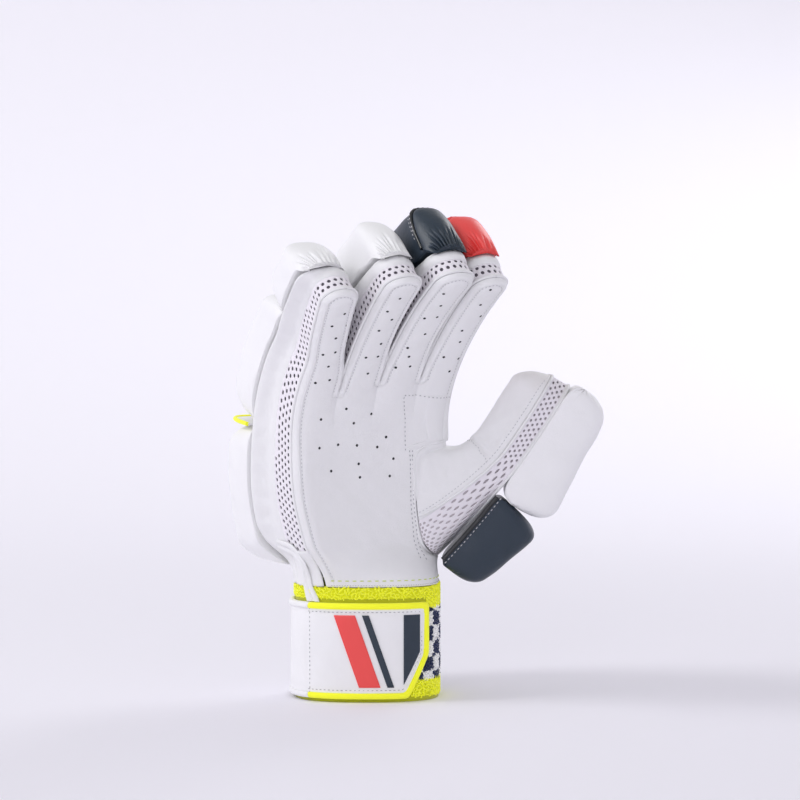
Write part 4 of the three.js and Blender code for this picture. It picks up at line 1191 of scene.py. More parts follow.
def core_points():
    """Points inside the hand, the fingers and the thumb, that every wall's faces look away from."""
    if not CORE:
        for index, row in enumerate(FINGERS):
            level = np.linspace(10, row["tip"] - row["half"], 60)
            middle = (finger_edge(index, -1, level, False) + finger_edge(index, 1, level, False)) / 2
            CORE.append(in_hand(middle, level, hand_depth(level) * 0.5, 0, index))
        CORE.append(in_thumb(np.linspace(5, THUMB_STRAIGHT, 30), 14 + np.zeros(30), np.zeros(30)))
    return (np.vstack(CORE) + SHIFT) / 1000


def aim_out(obj):
    """Turns a wall's faces away from the middle of the finger, hand or thumb that it goes round."""
    mesh = obj.data
    core = core_points()
    centres, normals, areas = (np.zeros(len(mesh.polygons) * k) for k in (3, 3, 1))
    mesh.polygons.foreach_get("center", centres)
    mesh.polygons.foreach_get("normal", normals)
    mesh.polygons.foreach_get("area", areas)
    centres, normals = centres.reshape(-1, 3), normals.reshape(-1, 3)
    nearest = core[np.argmin(((centres[:, None] - core[None]) ** 2).sum(-1), axis=1)]
    if (((centres - nearest) * normals).sum(1) * areas).sum() < 0:
        mesh.flip_normals()


def leather_wall(name, place, u, share, crown, seed, node, flare=0.0, lip=0.0):
    """A soft leather wall that bulges between its two sewn edges. flare is how far it spreads, by row, to
    meet an overhanging roll, and lip is how far its far edge is turned in under the rolls."""
    across = (share - share[0]) / (share[-1] - share[0])
    bulge = np.sin(np.pi * across) ** 0.6
    flat = place(u[:, None], share[None, :])
    soft = 0.3 * ripple(flat, 14, seed) + 0.14 * ripple(flat, 5, seed + 9)
    out = (crown + soft) * bulge[None, :] - 0.5 * (1 - bulge[None, :])
    out = out + np.reshape(flare, (-1, 1)) * smooth((across[None, :] - 0.25) / 0.75) ** 1.3
    if lip:
        tuck = np.linspace(0, 1, 8)[1:]
        share = np.concatenate([share, share[-1] + 0.004 * tuck])
        out = np.concatenate([out, out[:, -1:] - (np.reshape(flare, (-1, 1)) + lip) * tuck], axis=1)
    wall = mesh_object(name, *grids([place(u[:, None], share[None, :], out)]), [palm_leather()])
    aim_out(wall)
    thicken(wall, LEATHER / 2)
    keep(wall, "white_leather", node)


class GLOVE_OT_sides(bpy.types.Operator):
    """Sides of the fingers: mesh with holes, and the leather behind it"""

    bl_idname = "glove.sides"
    bl_label = "Mesh and side leather"

    def execute(self, context):
        for index, row in enumerate(FINGERS):
            name = row["name"]
            place, length = side_wall(index, MESH_LOW, CROTCH)
            keep(net(name, place, length, -0.02, MESH_SHARE), "white_mesh", f"gusset_{name}")
            place, length = side_wall(index, 0.0, CROTCH)
            u = np.linspace(0, length, int(length / 1.2))
            spread = np.zeros(len(u))
            if index == LITTLE:
                up = row["tip"] - row["half"]
                spread = (LITTLE_ROLL_OVERHANG - 0.3) * smooth((u - 12) / 25) * smooth((up + 15 - u) / 13)
            share = np.linspace(MESH_SHARE - 0.02, 1.03, 22)
            leather_wall(f"side_{name}", place, u, share, 0.9, index, f"wall_{name}", flare=spread, lip=3.5)
        place, length = side_wall(LITTLE, 0.0, CROTCH)
        u = np.linspace(0, MESH_LOW * PALM_LENGTH + 2, 20)
        share = np.linspace(-0.02, MESH_SHARE, 20)
        leather_wall("heel_little_skin", place, u, share, 0.6, 21, "heel_little")
        place, length = side_wall(INDEX, CROTCH, 0.0)
        u = np.linspace(length - 13.6, length, 16)
        leather_wall("heel_thumb_skin", place, u, np.linspace(-0.02, 1, 36), 0.6, 22, "heel_thumb")
        return {"FINISHED"}


def section(power, width, height, count):
    """Even points round a roll's arch: place across, height, and share of the way round from -1 to 1."""
    angle = np.linspace(0, np.pi, 4001)
    t = np.sign(np.cos(angle)) * np.abs(np.cos(angle)) ** (2 / power)
    h = np.abs(np.sin(angle)) ** (2 / power)
    run = running(np.hypot(np.diff(t) * width, np.diff(h) * height))
    even = np.linspace(0, run[-1], count)
    return np.interp(even, run, t), np.interp(even, run, h), even / run[-1] * 2 - 1


def gathers(count, seed):
    """Gathers round a roll's end: narrow valleys between soft ridges, unevenly spaced."""
    random = np.random.default_rng(seed)
    at = np.linspace(-0.86, 0.86, count) + random.uniform(-0.5, 0.5, count) * 0.9 / count
    depth = random.uniform(0.45, 1, count)
    reach = random.uniform(10, 22, count)

    def read(q, distance):
        total = 0 * q * distance
        for place, deep, far in zip(at, depth, reach):
            line = place * (1 + 0.012 * distance)
            total = total + deep * np.exp(-np.abs((q - line) / 0.026) ** 1.6) * (1 - smooth(distance / far))
        return total * smooth(distance / 1.2)

    return read


def outward(grid):
    """The direction out of a roll's surface at each point of its grid, which closes round the roll."""
    along = np.gradient(grid, axis=0)
    wrapped = np.concatenate([grid[:, -1:], grid, grid[:, :1]], axis=1)
    across = (wrapped[:, 2:] - wrapped[:, :-2]) / 2
    way = np.cross(along, across)
    way /= np.maximum(np.linalg.norm(way, axis=-1, keepdims=True), 1e-9)
    turned = np.sum(way * (grid - grid.mean(axis=1, keepdims=True)))
    return way if turned > 0 else -way


ROLL_COLUMNS, ROLL_ROW, GATHER_DEPTH = 130, 1.1, 3.2


def padded_roll(
    name, start, end, half, height, place, power, end_length, end_power, narrow, folds, seed, material,
    seam=None, hood=0.0, pole=0.0,
):
    """A stuffed roll on its seat, gathered at both ends, which round off over end_length and narrow to a
    share. seam is where an arch of piping divides it, hood is how far its end comes down over the fingertip,
    and pole is the share of its height that its ends close at. Gives the piece and a reader of lines across
    it."""
    arch, dome = section(power, 10, 24, ROLL_COLUMNS), section(1.9, 10, 24, ROLL_COLUMNS)
    seat = np.linspace(-1, 1, 15)[1:-1]
    q = np.concatenate([arch[2], 0 * seat + 2])[None, :]
    ends = (1 - np.cos(np.linspace(0, np.pi / 2, 26)))[1:] * end_length
    middle = np.arange(start + end_length, end - end_length, ROLL_ROW)[1:]
    s = np.concatenate([start + ends, middle, (end - ends)[::-1]])[:, None]
    near = np.maximum(1 - np.minimum(s - start, end - s) / end_length, 0)
    full = (1 - near**end_power) ** (1 / end_power)
    t = np.concatenate([mix(dome[0], arch[0], full**2), seat + 0 * s], axis=1)
    h = np.concatenate([mix(dome[1], arch[1], full**2), 0 * (seat + s)], axis=1)
    x = t * half(s) * mix(narrow, 1, full)
    over = np.where(s > (start + end) / 2, near, 0) if hood else 0 * full
    nose = half(s) * (1 - np.sqrt(np.maximum(1 - (x / half(s)) ** 2, 0))) * 0.9 * over**2
    grid = place(x, s - nose, (h * full + pole * (1 - full)) * height(s) - hood * over**2.4)
    top = grid[:, ROLL_COLUMNS // 2]
    run = running(np.linalg.norm(np.diff(top, axis=0), axis=1))[:, None]
    way = outward(grid)
    first, last = gathers(folds, seed), gathers(folds, seed + 50)
    on_arch = (q < 1.5) & (h > 0.03)
    push = -GATHER_DEPTH * (first(q, run) + last(q, run[-1] - run)) * on_arch
    push = push + 0.35 * ripple(grid, 18, seed) * on_arch * smooth(full * 1.5 - 0.2)
    if seam is not None:
        groove = 1.1 * np.exp(-(((s - seam) / 0.9) ** 2))
        push = push + on_arch * (0.8 * smooth((s - seam) / 2) * full - groove)
    grid = grid + way * push[..., None]
    piece = closed_roll(name, grid, material)

    def line(where, lift, low=-0.93, high=0.93):
        row = int(np.argmin(np.abs(s[:, 0] - where)))
        chosen = (q[0] > low) & (q[0] < high)
        return (grid[row] + way[row] * lift)[chosen]

    return piece, line


def closed_roll(name, grid, material):
    """A roll's mesh, with a fan over each end."""
    rows, across = grid.shape[:2]
    points = np.vstack([grid.reshape(-1, 3), grid[0].mean(0), grid[-1].mean(0)])
    faces = [list(f) for f in quads(rows, across, wrap=True)]
    for j in range(across):
        k = (j + 1) % across
        faces.append([rows * across, k, j])
        faces.append([rows * across + 1, (rows - 1) * across + j, (rows - 1) * across + k])
    return mesh_object(name, points, faces, [material], merge=0.005, closed=True)


class GLOVE_OT_rolls(bpy.types.Operator):
    """Padded rolls on the back, gathered at their ends, with piping between them and over two fingertips"""

    bl_idname = "glove.rolls"
    bl_label = "Padded rolls"

    def execute(self, context):
        colours = {"little": "pad_white", "ring": "pad_white", "middle": "navy", "index": "red"}
        slots = {"pad_white": "white_padding", "navy": "navy_padding", "red": "red_padding"}
        low = HAND_ROLL_START + HAND_ROLL_LENGTH + GAP
        for index, row in enumerate(FINGERS):
            name, tip = row["name"], row["tip"]
            tip_from = tip + TIP_ROLL_OVERHANG - TIP_ROLL_LENGTH
            tip_to = tip + TIP_ROLL_OVERHANG
            spans = [("tip", tip_from, tip_to), ("mid", low + PIPING_WIDTH + GAP, tip_from - GAP)]
            spans.append(("hand", HAND_ROLL_START, HAND_ROLL_START + HAND_ROLL_LENGTH))
            for number, (part, start, end) in enumerate(spans):
                colour = colours[name] if part == "tip" else "pad_white"
                seam = end - 9 if part == "tip" and colour != "pad_white" else None
                roll, line = padded_roll(
                    f"pad_{part}_{name}",
                    start,
                    end,
                    lambda s: roll_half(index, s),
                    lambda s: roll_height(index, s),
                    lambda x, s, h: on_roll_seat(index, x, s, h),
                    ROLL_POWER,
                    11.5,
                    2.3,
                    0.7 if part == "tip" else 0.6,
                    18,
                    index * 3 + number,
                    roll_leather(colour),
                    seam=seam,
                    hood=5.0 if part == "tip" else 0.0,
                )
                keep(roll, slots[colour], f"roll_{part}_{name}", padding=0.85)
                if seam:
                    skin = cord_skin() if colour == "navy" else roll_leather("red")
                    cord = piping("cord", [line(seam, 1.0)], skin, 1.0, 0.8)
                    arches = [line(seam - 2.6, 0.2, -0.72, 0.72), line(seam, 1.95, -0.6, 0.6)]
                    sewn = stitches("sewn", arches, thread("white"), 1.5, 1.3, 0.55)
                    keep(join(f"tip_piping_{name}", [cord, sewn]), slots[colour])
        # The piping between the finger rolls and the hand rolls, on a web of leather
        tubes, webs = [], []
        at = low + PIPING_WIDTH / 2
        t, h, _ = section(ROLL_POWER, 10, 24, 60)
        levels = np.linspace(0, 1, 8)[:, None]
        for index in range(4):
            half, tall = roll_half(index, np.array(at)), PIPING_RISE * roll_height(index, np.array(at))
            tubes.append(on_roll_seat(index, t[2:-2] * half, np.full(len(t) - 4, at), h[2:-2] * (tall - 1)))
            rise = levels * h[None, :] * (tall - 1.2)
            webs.append(on_roll_seat(index, t[None, :] * half * 0.97, at + 0 * rise, rise))
        cord = piping("cord", tubes, edge_tape(), 1.15, 1.0)
        web = mesh_object("web", *grids(webs), [palm_leather()])
        thicken(web, 0.8, 0)
        keep(join("lime_piping_back", [cord, bake(web)]), "lime_piping", "back_piping")
        return {"FINISHED"}


class GLOVE_OT_thumb(bpy.types.Operator):
    """Thumb: leather front, mesh wedge, backing and its two pads"""

    bl_idname = "glove.thumb"
    bl_label = "Thumb"

    def execute(self, context):
        near, far = THUMB_LEATHER_ANGLES
        straight = np.linspace(0, 0.995, 90)
        turns = np.concatenate([np.linspace(0, 70, 16), [76, 80, 83, 86, 88]])
        a, turn = thumb_rows(straight, turns)
        angle = np.linspace(near, far, 90)
        t = (angle - near) / (far - near) * 2 - 1

        inside = in_thumb(40.0, 14.0, 0.0)
        flat = thumb_point(a, turn, fallen(THUMB_DIP, t, turn), t, angle)
        way = facing(flat, inside)
        # A seam across the thumb, soft ripples, a turned hem and one deep crease at the thumb's root
        seam_at = 29.5 - 1.5 * np.sin(np.pi * (1 - t))
        raised = 0.35 * smooth((a - seam_at) / 3) * smooth((34 - a) / 3)
        seam = raised - 1.0 * np.exp(-(((a - seam_at) / 0.6) ** 2))
        push = np.where(angle < 40, seam, 0) + 0.4 * ripple(flat, 20, 31) + 0.15 * ripple(flat, 8, 32)
        rim = THUMB_HALF * np.minimum(1 - np.abs(t), 1 + 0 * a)
        push = (push * smooth(rim / 4) + 0.5 * np.exp(-(((rim - 1.2) / 0.9) ** 2))) * smooth(a / 5)
        crease = ((a - 9 - 0.06 * (angle + 40)) / 2.2) ** 2
        fold = 1.3 * np.exp(-crease) * np.exp(-(((angle + 30) / 22) ** 2))
        grid = flat + way * (push - fold)[..., None]
        leather_sheet("thumb_skin", [grid], inside, LEATHER, "thumb_leather")
        # Stitches along the leather's hem by the mesh, on the side that faces forwards
        column_at = int(np.argmin(np.abs(angle - (near + 7))))
        rows = np.arange(6, 100)
        line = grid[rows, column_at] + way[rows, column_at] * 0.15
        hem = stitches("sewn", [line], thread("white"), 1.1, 0.9, 0.4)
        crossing = [(int(np.argmin(np.abs(a[:, 0] - seam_at[j] + 1.3))), j) for j in range(3, 44)]
        line = np.array([grid[i, j] + way[i, j] * 0.12 for i, j in crossing])
        sewn = stitches("sewn", [line], thread("white"), 1.2, 0.9, 0.4)
        # A leather strip closes the thumb's root to the back of the hand
        around_root = np.linspace(22, 168, 70)
        s = hole_at(around_root) * PALM_LENGTH
        depth = hand_depth(s)
        inner = in_hand(hole_x(around_root) * HALF_PALM - 1.5, s, hole_d(around_root) * depth - 1.5, 0)
        outer = in_hand(finger_edge(INDEX, 1, s, False) - 0.6, s, depth - FINGER_BACK_DIP - 0.6, 0, INDEX)
        share = np.linspace(0, 1, 9)[None, :, None]
        strip = mix(inner[:, None], outer[:, None], share) + np.sin(np.pi * share) * np.array([1.2, 0, 0])
        root = mesh_object("thumb_root_edge", *grids([strip]), [palm_leather()], outside=[0, 0, 110])
        thicken(root, LEATHER / 2, 0)
        keep(root, "white_leather")
        # Mesh wedge, by millimetres up the near side, round the tip and down the far side
        climb = a[:, 0] + THUMB_HALF * np.sin(turn[:, 0])
        lengths = np.concatenate([climb, 2 * climb[-1] + 3 - climb[::-1]])
        rows_a = np.concatenate([a[:, 0], a[::-1, 0]])
        rows_turn = np.concatenate([turn[:, 0], turn[::-1, 0]])
        side = np.concatenate([0 * climb - 1, 0 * climb + 1])

        def wedge(u, share, out=0.0):
            at, bend, across = (np.interp(u, lengths, values) for values in (rows_a, rows_turn, side))
            depth = mix(THUMB_DIP + LEATHER, THUMB_DEPTH - LEATHER / 2, share)
            near_side, far_side = mix(near, -THUMB_GUSSET_ANGLE, share), mix(far, THUMB_GUSSET_ANGLE, share)
            around = np.where(u < climb[-1] + 1.5, near_side, far_side)
            reach = THUMB_HALF + out
            at, depth, around, bend, across = np.broadcast_arrays(at, depth, around, bend, across)
            return on_thumb(at + reach * np.sin(bend), depth, across * np.cos(bend) * reach, around)

        wedge_net = net("thumb", wedge, lengths[-1], -0.06, 1.07, 0.62, 0.88, pale_lining)
        keep(wedge_net, "white_mesh", "thumb_gusset")
        keep(join("thumb_stitches", [hem, sewn]), "white_leather")
        share = np.linspace(0, 1, 30)[None, :]
        around = mix(THUMB_GUSSET_ANGLE + 2, 358 - THUMB_GUSSET_ANGLE, share)
        back = thumb_point(a, turn, THUMB_DEPTH, 1 - share * 2, around)
        leather_sheet("thumb_backing_skin", [back], in_thumb(40.0, 0.0, 0.0), LEATHER, "thumb_backing")
        meet = THUMB_LENGTH + TIP_ROLL_OVERHANG - TIP_PAD_LENGTH
        foot = meet - GAP - ROOT_PAD_LENGTH
        pads = [
            ("tip", meet, TIP_PAD_LENGTH, PAD_MEETING_HEIGHT, TIP_PAD_HEIGHT, "pad_white", "white_padding"),
            ("root", foot, ROOT_PAD_LENGTH, ROOT_PAD_HEIGHT, PAD_MEETING_HEIGHT, "navy", "navy_padding"),
        ]
        for number, (part, start, length, first, last, colour, slot) in enumerate(pads):
            pad, _ = padded_roll(
                f"thumb_pad_{part}_cover",
                start,
                start + length,
                lambda s: THUMB_PAD_WIDTH / 2 + 0 * s,
                lambda s: mix(first, last, (s - start) / length),
                lambda x, s, h: in_thumb(s, THUMB_DEPTH + GAP + h, x),
                2.9,
                (12, 9)[number],
                (2.4, 2.6)[number],
                0.8,
                (11, 5)[number],
                70 + number,
                roll_leather(colour),
                pole=(0.3, 0.16)[number],
            )
            keep(pad, slot, f"thumb_pad_{part}", padding=0.9)
        # The navy pad's bound and stitched edge
        run = np.linspace(foot + 2, meet - 1, 50)
        edge = in_thumb(run, THUMB_DEPTH + 0.7 + 0 * run, 0.1 - THUMB_PAD_WIDTH / 2 + 0 * run)
        cord = piping("cord", [edge], cord_skin(), 1.3, 1.0)
        row = in_thumb(run, THUMB_DEPTH + 2.9 + 0 * run, -0.15 - THUMB_PAD_WIDTH / 2 + 0 * run)
        sewn = stitches("sewn", [row], thread("white"), 1.4, 1.0, 0.55)
        keep(join("thumb_pad_binding", [cord, sewn]), "navy_padding")
        return {"FINISHED"}


CUFF_AT = np.arange(0, 361, 1.0)
CUFF_RUN = running(np.linalg.norm(np.diff(on_cuff(CUFF_AT, 0, 0), axis=0), axis=1))


class GLOVE_OT_cuff(bpy.types.Operator):
    """Towelling wristband with its lime ends"""

    bl_idname = "glove.cuff"
    bl_label = "Towelling cuff"

    def execute(self, context):
        given = settings()
        rings = [
            ("bottom", 0, CUFF_BAND + GAP, "cuff_band_bottom", "lime_towelling"),
            ("check", CUFF_BAND, CUFF_HEIGHT - CUFF_BAND, "cuff_towel", "checked_towelling"),
            ("top", CUFF_HEIGHT - CUFF_BAND - GAP, CUFF_HEIGHT, "cuff_band_top", "lime_towelling"),
        ]
        angle = np.linspace(0, 360, 201)[:-1]
        for number, (name, low, high, node, slot) in enumerate(rings):
            heights = np.linspace(low, high, int((high - low) / 1.2) + 2)
            outer = on_cuff(angle[None, :], heights[:, None], 0)
            inner = on_cuff(angle[None, :], heights[::-1, None], -CUFF_WALL)
            ring = np.concatenate([outer, inner, outer[:1]])
            run = np.interp(angle, CUFF_AT, CUFF_RUN)
            levels = np.concatenate([heights, heights[::-1], heights[:1]])
            cloth = np.stack(np.broadcast_arrays(run[None, :], levels[:, None], 0.0), -1)
            marks = [("cloth", "FLOAT_VECTOR", "POINT", cloth)]
            if name == "check":
                material = ground = check_towel()
            else:
                # The lime loops glow faintly: painted light for their fluorescent dye
                material = towel("lime_terry", given.lime, 0.18)
                # The bare ground is the lime at 0.55 of its brightness: painted shade among the loops
                ground = towel("lime_terry_ground", [c * 0.55 for c in given.lime[:3]] + [1])
            base = mesh_object(f"cuff_{name}", *grids([ring], wrap=True), [ground], closed=True, marks=marks)
            # The pile stands where the strap leaves the towelling bare
            faces = quads(len(heights), len(angle), wrap=True)
            centre = faces[:, 0]
            w = strap_run((angle[centre % len(angle)] - STRAP_TIP_ANGLE - 1) % -360 + STRAP_TIP_ANGLE + 1)
            h = heights[centre // len(angle)] - STRAP_BASE
            under = (w > -1.5) & (w < STRAP_LENGTH + 1) & (h > -1.5) & (h < STRAP_HEIGHT + 1.2)
            under &= h > corner_height(w, -1.5)
            under |= heights[centre // len(angle)] < 1.4
            marks = [("cloth", "FLOAT_VECTOR", "POINT", cloth[: len(heights)])]
            bare = faces[~under]
            pile = mesh_object("pile", outer.reshape(-1, 3), bare, merge=0, outside=[0, 0, 30], marks=marks)
            pile = grow(pile, towel_tree(), Spacing=given.towel_pitch, Seed=number, Material=material)
            keep(join(f"towel_{name}", [base, pile]), slot, node)
        return {"FINISHED"}


def strap_table():
    at, degrees = [0.0], [float(STRAP_TIP_ANGLE)]
    while degrees[-1] > STRAP_TIP_ANGLE - 358:
        step = on_cuff(degrees[-1], 0, STRAP_THICKNESS) - on_cuff(degrees[-1] - 2, 0, STRAP_THICKNESS)
        at.append(at[-1] + float(np.linalg.norm(step)))
        degrees.append(degrees[-1] - 2)
    return np.array(at), np.array(degrees)


STRAP_AT, STRAP_DEGREES = strap_table()
cuff_angle = column(STRAP_AT, STRAP_DEGREES)


def strap_run(degrees):
    """Millimetres round the cuff from the strap's tip at an angle."""
    return np.interp(-degrees, -STRAP_DEGREES, STRAP_AT)


def on_strap(w, h, out):
    return on_cuff(cuff_angle(w), STRAP_BASE + h, GAP + out)


SLANT = math.hypot(STRAP_CORNER_LENGTH, STRAP_CORNER_HEIGHT)
# How far round from its tip the strap is sewn across
SEWN_AT = 65.5


def corner_height(w, inset):
    """Height of the strap's slanted corner, moved in by a distance."""
    drop = STRAP_CORNER_HEIGHT * (w - STRAP_CORNER_LENGTH)
    return np.maximum((inset * SLANT - drop) / STRAP_CORNER_LENGTH, inset)


def strap_corners(inset):
    foot = STRAP_CORNER_LENGTH + inset * (SLANT - STRAP_CORNER_LENGTH) / STRAP_CORNER_HEIGHT
    bend = float(corner_height(inset, inset))
    top = STRAP_HEIGHT - inset
    places = [(STRAP_LENGTH, inset), (SEWN_AT, inset), (foot, inset), (inset, bend), (inset, top)]
    return np.array([*places, (SEWN_AT, top), (STRAP_LENGTH, top)])


def strap_line(inset, first=0, last=6, step=1.5):
    """The strap's edge at an inset, between two of its corners, with rounded turns."""
    whole, plain = strap_corners(inset)[first : last + 1], strap_corners(0)[first : last + 1]
    points = []
    for k in range(len(whole) - 1):
        count = max(int(np.hypot(*(plain[k + 1] - plain[k])) / step), 2)
        points.append(mix(whole[k], whole[k + 1], (np.arange(count) / count)[:, None]))
    line = np.vstack([*points, whole[-1:]])
    for _ in range(2):
        line[1:-1] = (line[:-2] + 2 * line[1:-1] + line[2:]) / 4
    return line


def strap_plate(name, w, h, material, slot, node):
    """A thin leather shape on the strap, over grids of w and h."""
    grid = on_strap(w, h, STRAP_THICKNESS + 0.55)
    plate = mesh_object(name, *grids([grid]), [material], outside=[0, 0, 30])
    thicken(plate, 0.6)
    modify(plate, "BEVEL", width=0.00015, segments=1, limit_method="ANGLE")
    keep(plate, slot, node)


class GLOVE_OT_strap(bpy.types.Operator):
    """Wrist strap with its binding, stitches and bars"""

    bl_idname = "glove.strap"
    bl_label = "Wrist strap"

    def execute(self, context):
        w = np.linspace(STRAP_BINDING - 0.6, STRAP_LENGTH - 0.2, 170)[:, None]
        low = corner_height(w, STRAP_BINDING - 0.4)
        h = mix(low, STRAP_HEIGHT - STRAP_BINDING + 0.4, np.linspace(0, 1, 40)[None, :])
        seam = 0.5 * np.exp(-(((w - SEWN_AT - 1) / 0.5) ** 2))
        edge = np.minimum(h - low, STRAP_HEIGHT - STRAP_BINDING - h)
        dent = 0.35 * np.exp(-(((edge - 1.9) / 0.6) ** 2))
        soft = 0.12 * ripple(on_strap(w, h, 0), 20, 41)
        face = mesh_object(
            "strap_face",
            *grids([on_strap(w, h, STRAP_THICKNESS - 0.05 - seam - dent + soft)]),
            [roll_leather("pad_white")],
            outside=[0, 0, 30],
        )
        thicken(face, STRAP_THICKNESS - 0.6)
        keep(face, "strap_leather", "strap")
        # Edge tape, lime in front of the sewn line and white behind it
        profile = [(0, 0.1), (-0.08, 0.8), (-0.05, 2), (0.1, 2.7), (0.4, 3.05), (0.75, 3)]
        profile += [(0.97, 2.7), (1, 2.2), (1, 0.1)]
        tapes = []
        for first, last, colour in ((0, 1, "pad_white"), (1, 5, "lime"), (5, 6, "pad_white")):
            rows = [
                on_strap(*strap_line(STRAP_BINDING * share, first, last).T, out)
                for share, out in profile
            ]
            tapes.append(closed_roll("tape", np.stack(rows, 1), edge_tape(colour)))
        keep(join("strap_tape", tapes), "lime_binding", "strap_binding")
        line = strap_line(STRAP_BINDING + 1.5, 1, 5)
        rows = [on_strap(*line.T, STRAP_THICKNESS - 0.2)]
        heights = np.linspace(STRAP_BINDING, STRAP_HEIGHT - STRAP_BINDING, 40)
        rows.append(on_strap(SEWN_AT - 0.6 + 0 * heights, heights, STRAP_THICKNESS - 0.05))
        sewn = stitches("strap_stitches", rows, thread("grey"), 1.3, 1.0, 0.4)
        keep(sewn, "strap_leather")
        margin = STRAP_BINDING * 2
        share = np.linspace(0, 1, 30)[None, :]
        leather = {"navy": trim("navy"), "red": trim("red")}
        for name, start, width, colour in (
            ("thin", STRIPE_START, STRIPE_THIN, "navy"),
            ("wide", STRIPE_START + STRIPE_THIN * 2, STRIPE_WIDE, "red"),
        ):
            w = start + width * np.linspace(0, 1, 12)[:, None] + STRIPE_SLANT * share
            h = mix(margin, STRAP_HEIGHT - margin, share) + 0 * w
            strap_plate(f"bar_{name}", w, h, leather[colour], f"{colour}_trim", f"strap_stripe_{name}")
        w = np.linspace(margin, margin + END_PANEL_LENGTH, 12)[:, None]
        h = mix(corner_height(w, margin), STRAP_HEIGHT - margin, share)
        strap_plate("bar_end", w + 0 * share, h, leather["navy"], "navy_trim", "strap_end_panel")
        return {"FINISHED"}


# The turned edge: height and depth of its two sides on the hand, as shares of the fit length and of the depth
# there, then two angles and a share of the top band's height on the cuff
FLAP_ON_HAND = np.array([
    (1, 0.8, 0.75, 0.8), (0.9, 0.42, 0.62, 0.5), (0.54, 0.28, 0.42, 0.41),
    (0.2, 0.26, 0.17, 0.39), (0.02, 0.25, 0.02, 0.38),
])
FLAP_ON_CUFF = np.array([(-136, -148, 0.6), (-134, -146, 0.33)])


class GLOVE_OT_flap(bpy.types.Operator):
    """The leather's turned edge at the wrist, which runs under the strap"""

    bl_idname = "glove.flap"
    bl_label = "Wrist edge"

    def execute(self, context):
        sides = []
        for up, deep, turn in ((0, 1, 0), (2, 3, 1)):
            s = FLAP_ON_HAND[:, up] * CUFF_FIT_LENGTH
            d = FLAP_ON_HAND[:, deep] * hand_depth(s)
            on_side = in_hand(finger_edge(LITTLE, -1, s, False) - 1.6, s, d, 1.6)
            height = CUFF_HEIGHT - CUFF_BAND + CUFF_BAND * FLAP_ON_CUFF[:, 2]
            sides.append(np.vstack([on_side, on_cuff(FLAP_ON_CUFF[:, turn], height, 1.6)]))
        lengths = np.linspace(0, 1, len(sides[0]))
        even = np.linspace(0, 1, 70)
        edges = [np.stack([column(lengths, side[:, k])(even) for k in range(3)], -1) for side in sides]
        share = np.linspace(0, 1, 25)[None, :, None]
        flat = mix(edges[0][:, None], edges[1][:, None], share)
        ridge = 1.1 * np.abs(np.sin(2 * np.pi * share)) ** 0.7 * (1 - 0.3 * share)
        ridge = ridge + 0.3 * ripple(flat, 12, 51)[..., None]
        inside = [10, 0, 70]
        grid = flat + facing(flat, inside) * (ridge - 0.6)
        leather_sheet("wrist_edge", [grid], inside, LEATHER, "wrist_flap")
        return {"FINISHED"}


# The paper floor's flat radius and the radius of its rise, and the camera's angles, distance and half view,
# in metres and degrees. The camera aims at a point in millimetres aside from the cuff's middle and up.
FLAT_RADIUS, RISE_RADIUS = 0.9, 2.2
VIEW_TURN, VIEW_LIFT, VIEW_DISTANCE, VIEW_HALF = -28, 3, 1.6, 0.212
VIEW_ASIDE, VIEW_UP = (17.5 * 0.883, -17.5 * 0.469), 157


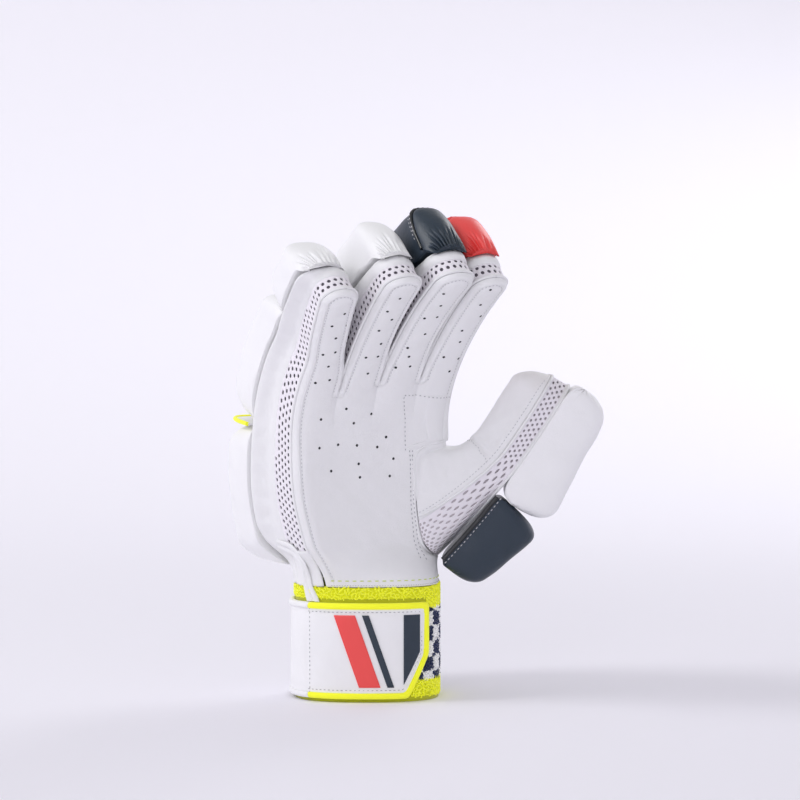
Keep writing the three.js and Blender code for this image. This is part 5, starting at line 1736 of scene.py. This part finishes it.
class GLOVE_OT_stage(bpy.types.Operator):
    """Floor, lights and camera"""

    bl_idname = "glove.stage"
    bl_label = "Stage"

    def execute(self, context):
        scene = bpy.context.scene
        scene.view_settings.view_transform = "Standard"
        world = bpy.data.worlds.new("studio")
        world.use_nodes = True
        sky = world.node_tree.nodes["Background"]
        sky.inputs["Color"].default_value = linear("fafafa")
        sky.inputs["Strength"].default_value = 0.55
        scene.world = world
        arc = np.linspace(0, np.pi / 2, 24)
        curved = FLAT_RADIUS + RISE_RADIUS * np.sin(arc)[1:]
        radius = np.concatenate([np.linspace(0, FLAT_RADIUS, 10), curved])
        rise = np.concatenate([np.zeros(10), RISE_RADIUS * (1 - np.cos(arc))[1:]])
        angle = np.radians(np.arange(0, 360, 5))[None, :]
        circle = [radius[:, None] * np.cos(angle), radius[:, None] * np.sin(angle), rise[:, None] + 0 * angle]
        floor = mesh_object("floor", *grids([np.stack(circle, -1) * 1000], wrap=True), [backdrop()])
        for name, place, energy, size in (
            ("key", (-1.5, 0.5, 1.6), 12, 0.6),
            ("fill", (-1.3, -1.6, 0.8), 5.5, 0.8),
            ("edge", (1.6, 0.9, 1.2), 8, 0.8),
        ):
            lamp = bpy.data.lights.new(name, "AREA")
            lamp.energy, lamp.size = energy, size
            light = new_object(name, lamp)
            light.location = place
            aim = Vector((0, 0, 0.12)) - light.location
            light.rotation_euler = aim.to_track_quat("-Z", "Y").to_euler()
        camera = new_object("camera", bpy.data.cameras.new("camera"))
        turn, lift = math.radians(VIEW_TURN), math.radians(VIEW_LIFT)
        target = Vector((VIEW_ASIDE[0] + SHIFT[0], VIEW_ASIDE[1] + SHIFT[1], VIEW_UP)) / 1000
        way = Vector((math.sin(turn) * math.cos(lift), -math.cos(turn) * math.cos(lift), math.sin(lift)))
        camera.location = target + way * VIEW_DISTANCE
        camera.rotation_euler = (-way).to_track_quat("-Z", "Y").to_euler()
        camera.data.angle = 2 * math.atan(VIEW_HALF / VIEW_DISTANCE)
        scene.camera = camera
        return {"FINISHED"}


class GLOVE_PT_sidebar(bpy.types.Panel):
    """The glove's settings and pieces"""

    bl_idname = "GLOVE_PT_sidebar"
    bl_label = "Batting glove"
    bl_space_type = "VIEW_3D"
    bl_region_type = "UI"
    bl_category = "Glove"

    def draw(self, context):
        for key in GloveSettings.__annotations__:
            self.layout.prop(context.scene.glove, key)
        for operator in OPERATORS:
            self.layout.operator(operator.bl_idname)


OPERATORS = [
    GLOVE_OT_palm,
    GLOVE_OT_sides,
    GLOVE_OT_rolls,
    GLOVE_OT_thumb,
    GLOVE_OT_cuff,
    GLOVE_OT_strap,
    GLOVE_OT_flap,
    GLOVE_OT_stage,
]


def register():
    for cls in (GloveSettings, *OPERATORS, GLOVE_PT_sidebar):
        bpy.utils.register_class(cls)
    bpy.types.Scene.glove = bpy.props.PointerProperty(type=GloveSettings)


def unregister():
    del bpy.types.Scene.glove
    for cls in reversed((GloveSettings, *OPERATORS, GLOVE_PT_sidebar)):
        bpy.utils.unregister_class(cls)


def main():
    register()
    for operator in OPERATORS:
        group, name = operator.bl_idname.split(".")
        getattr(getattr(bpy.ops, group), name)()


if __name__ == "__main__":
    main()
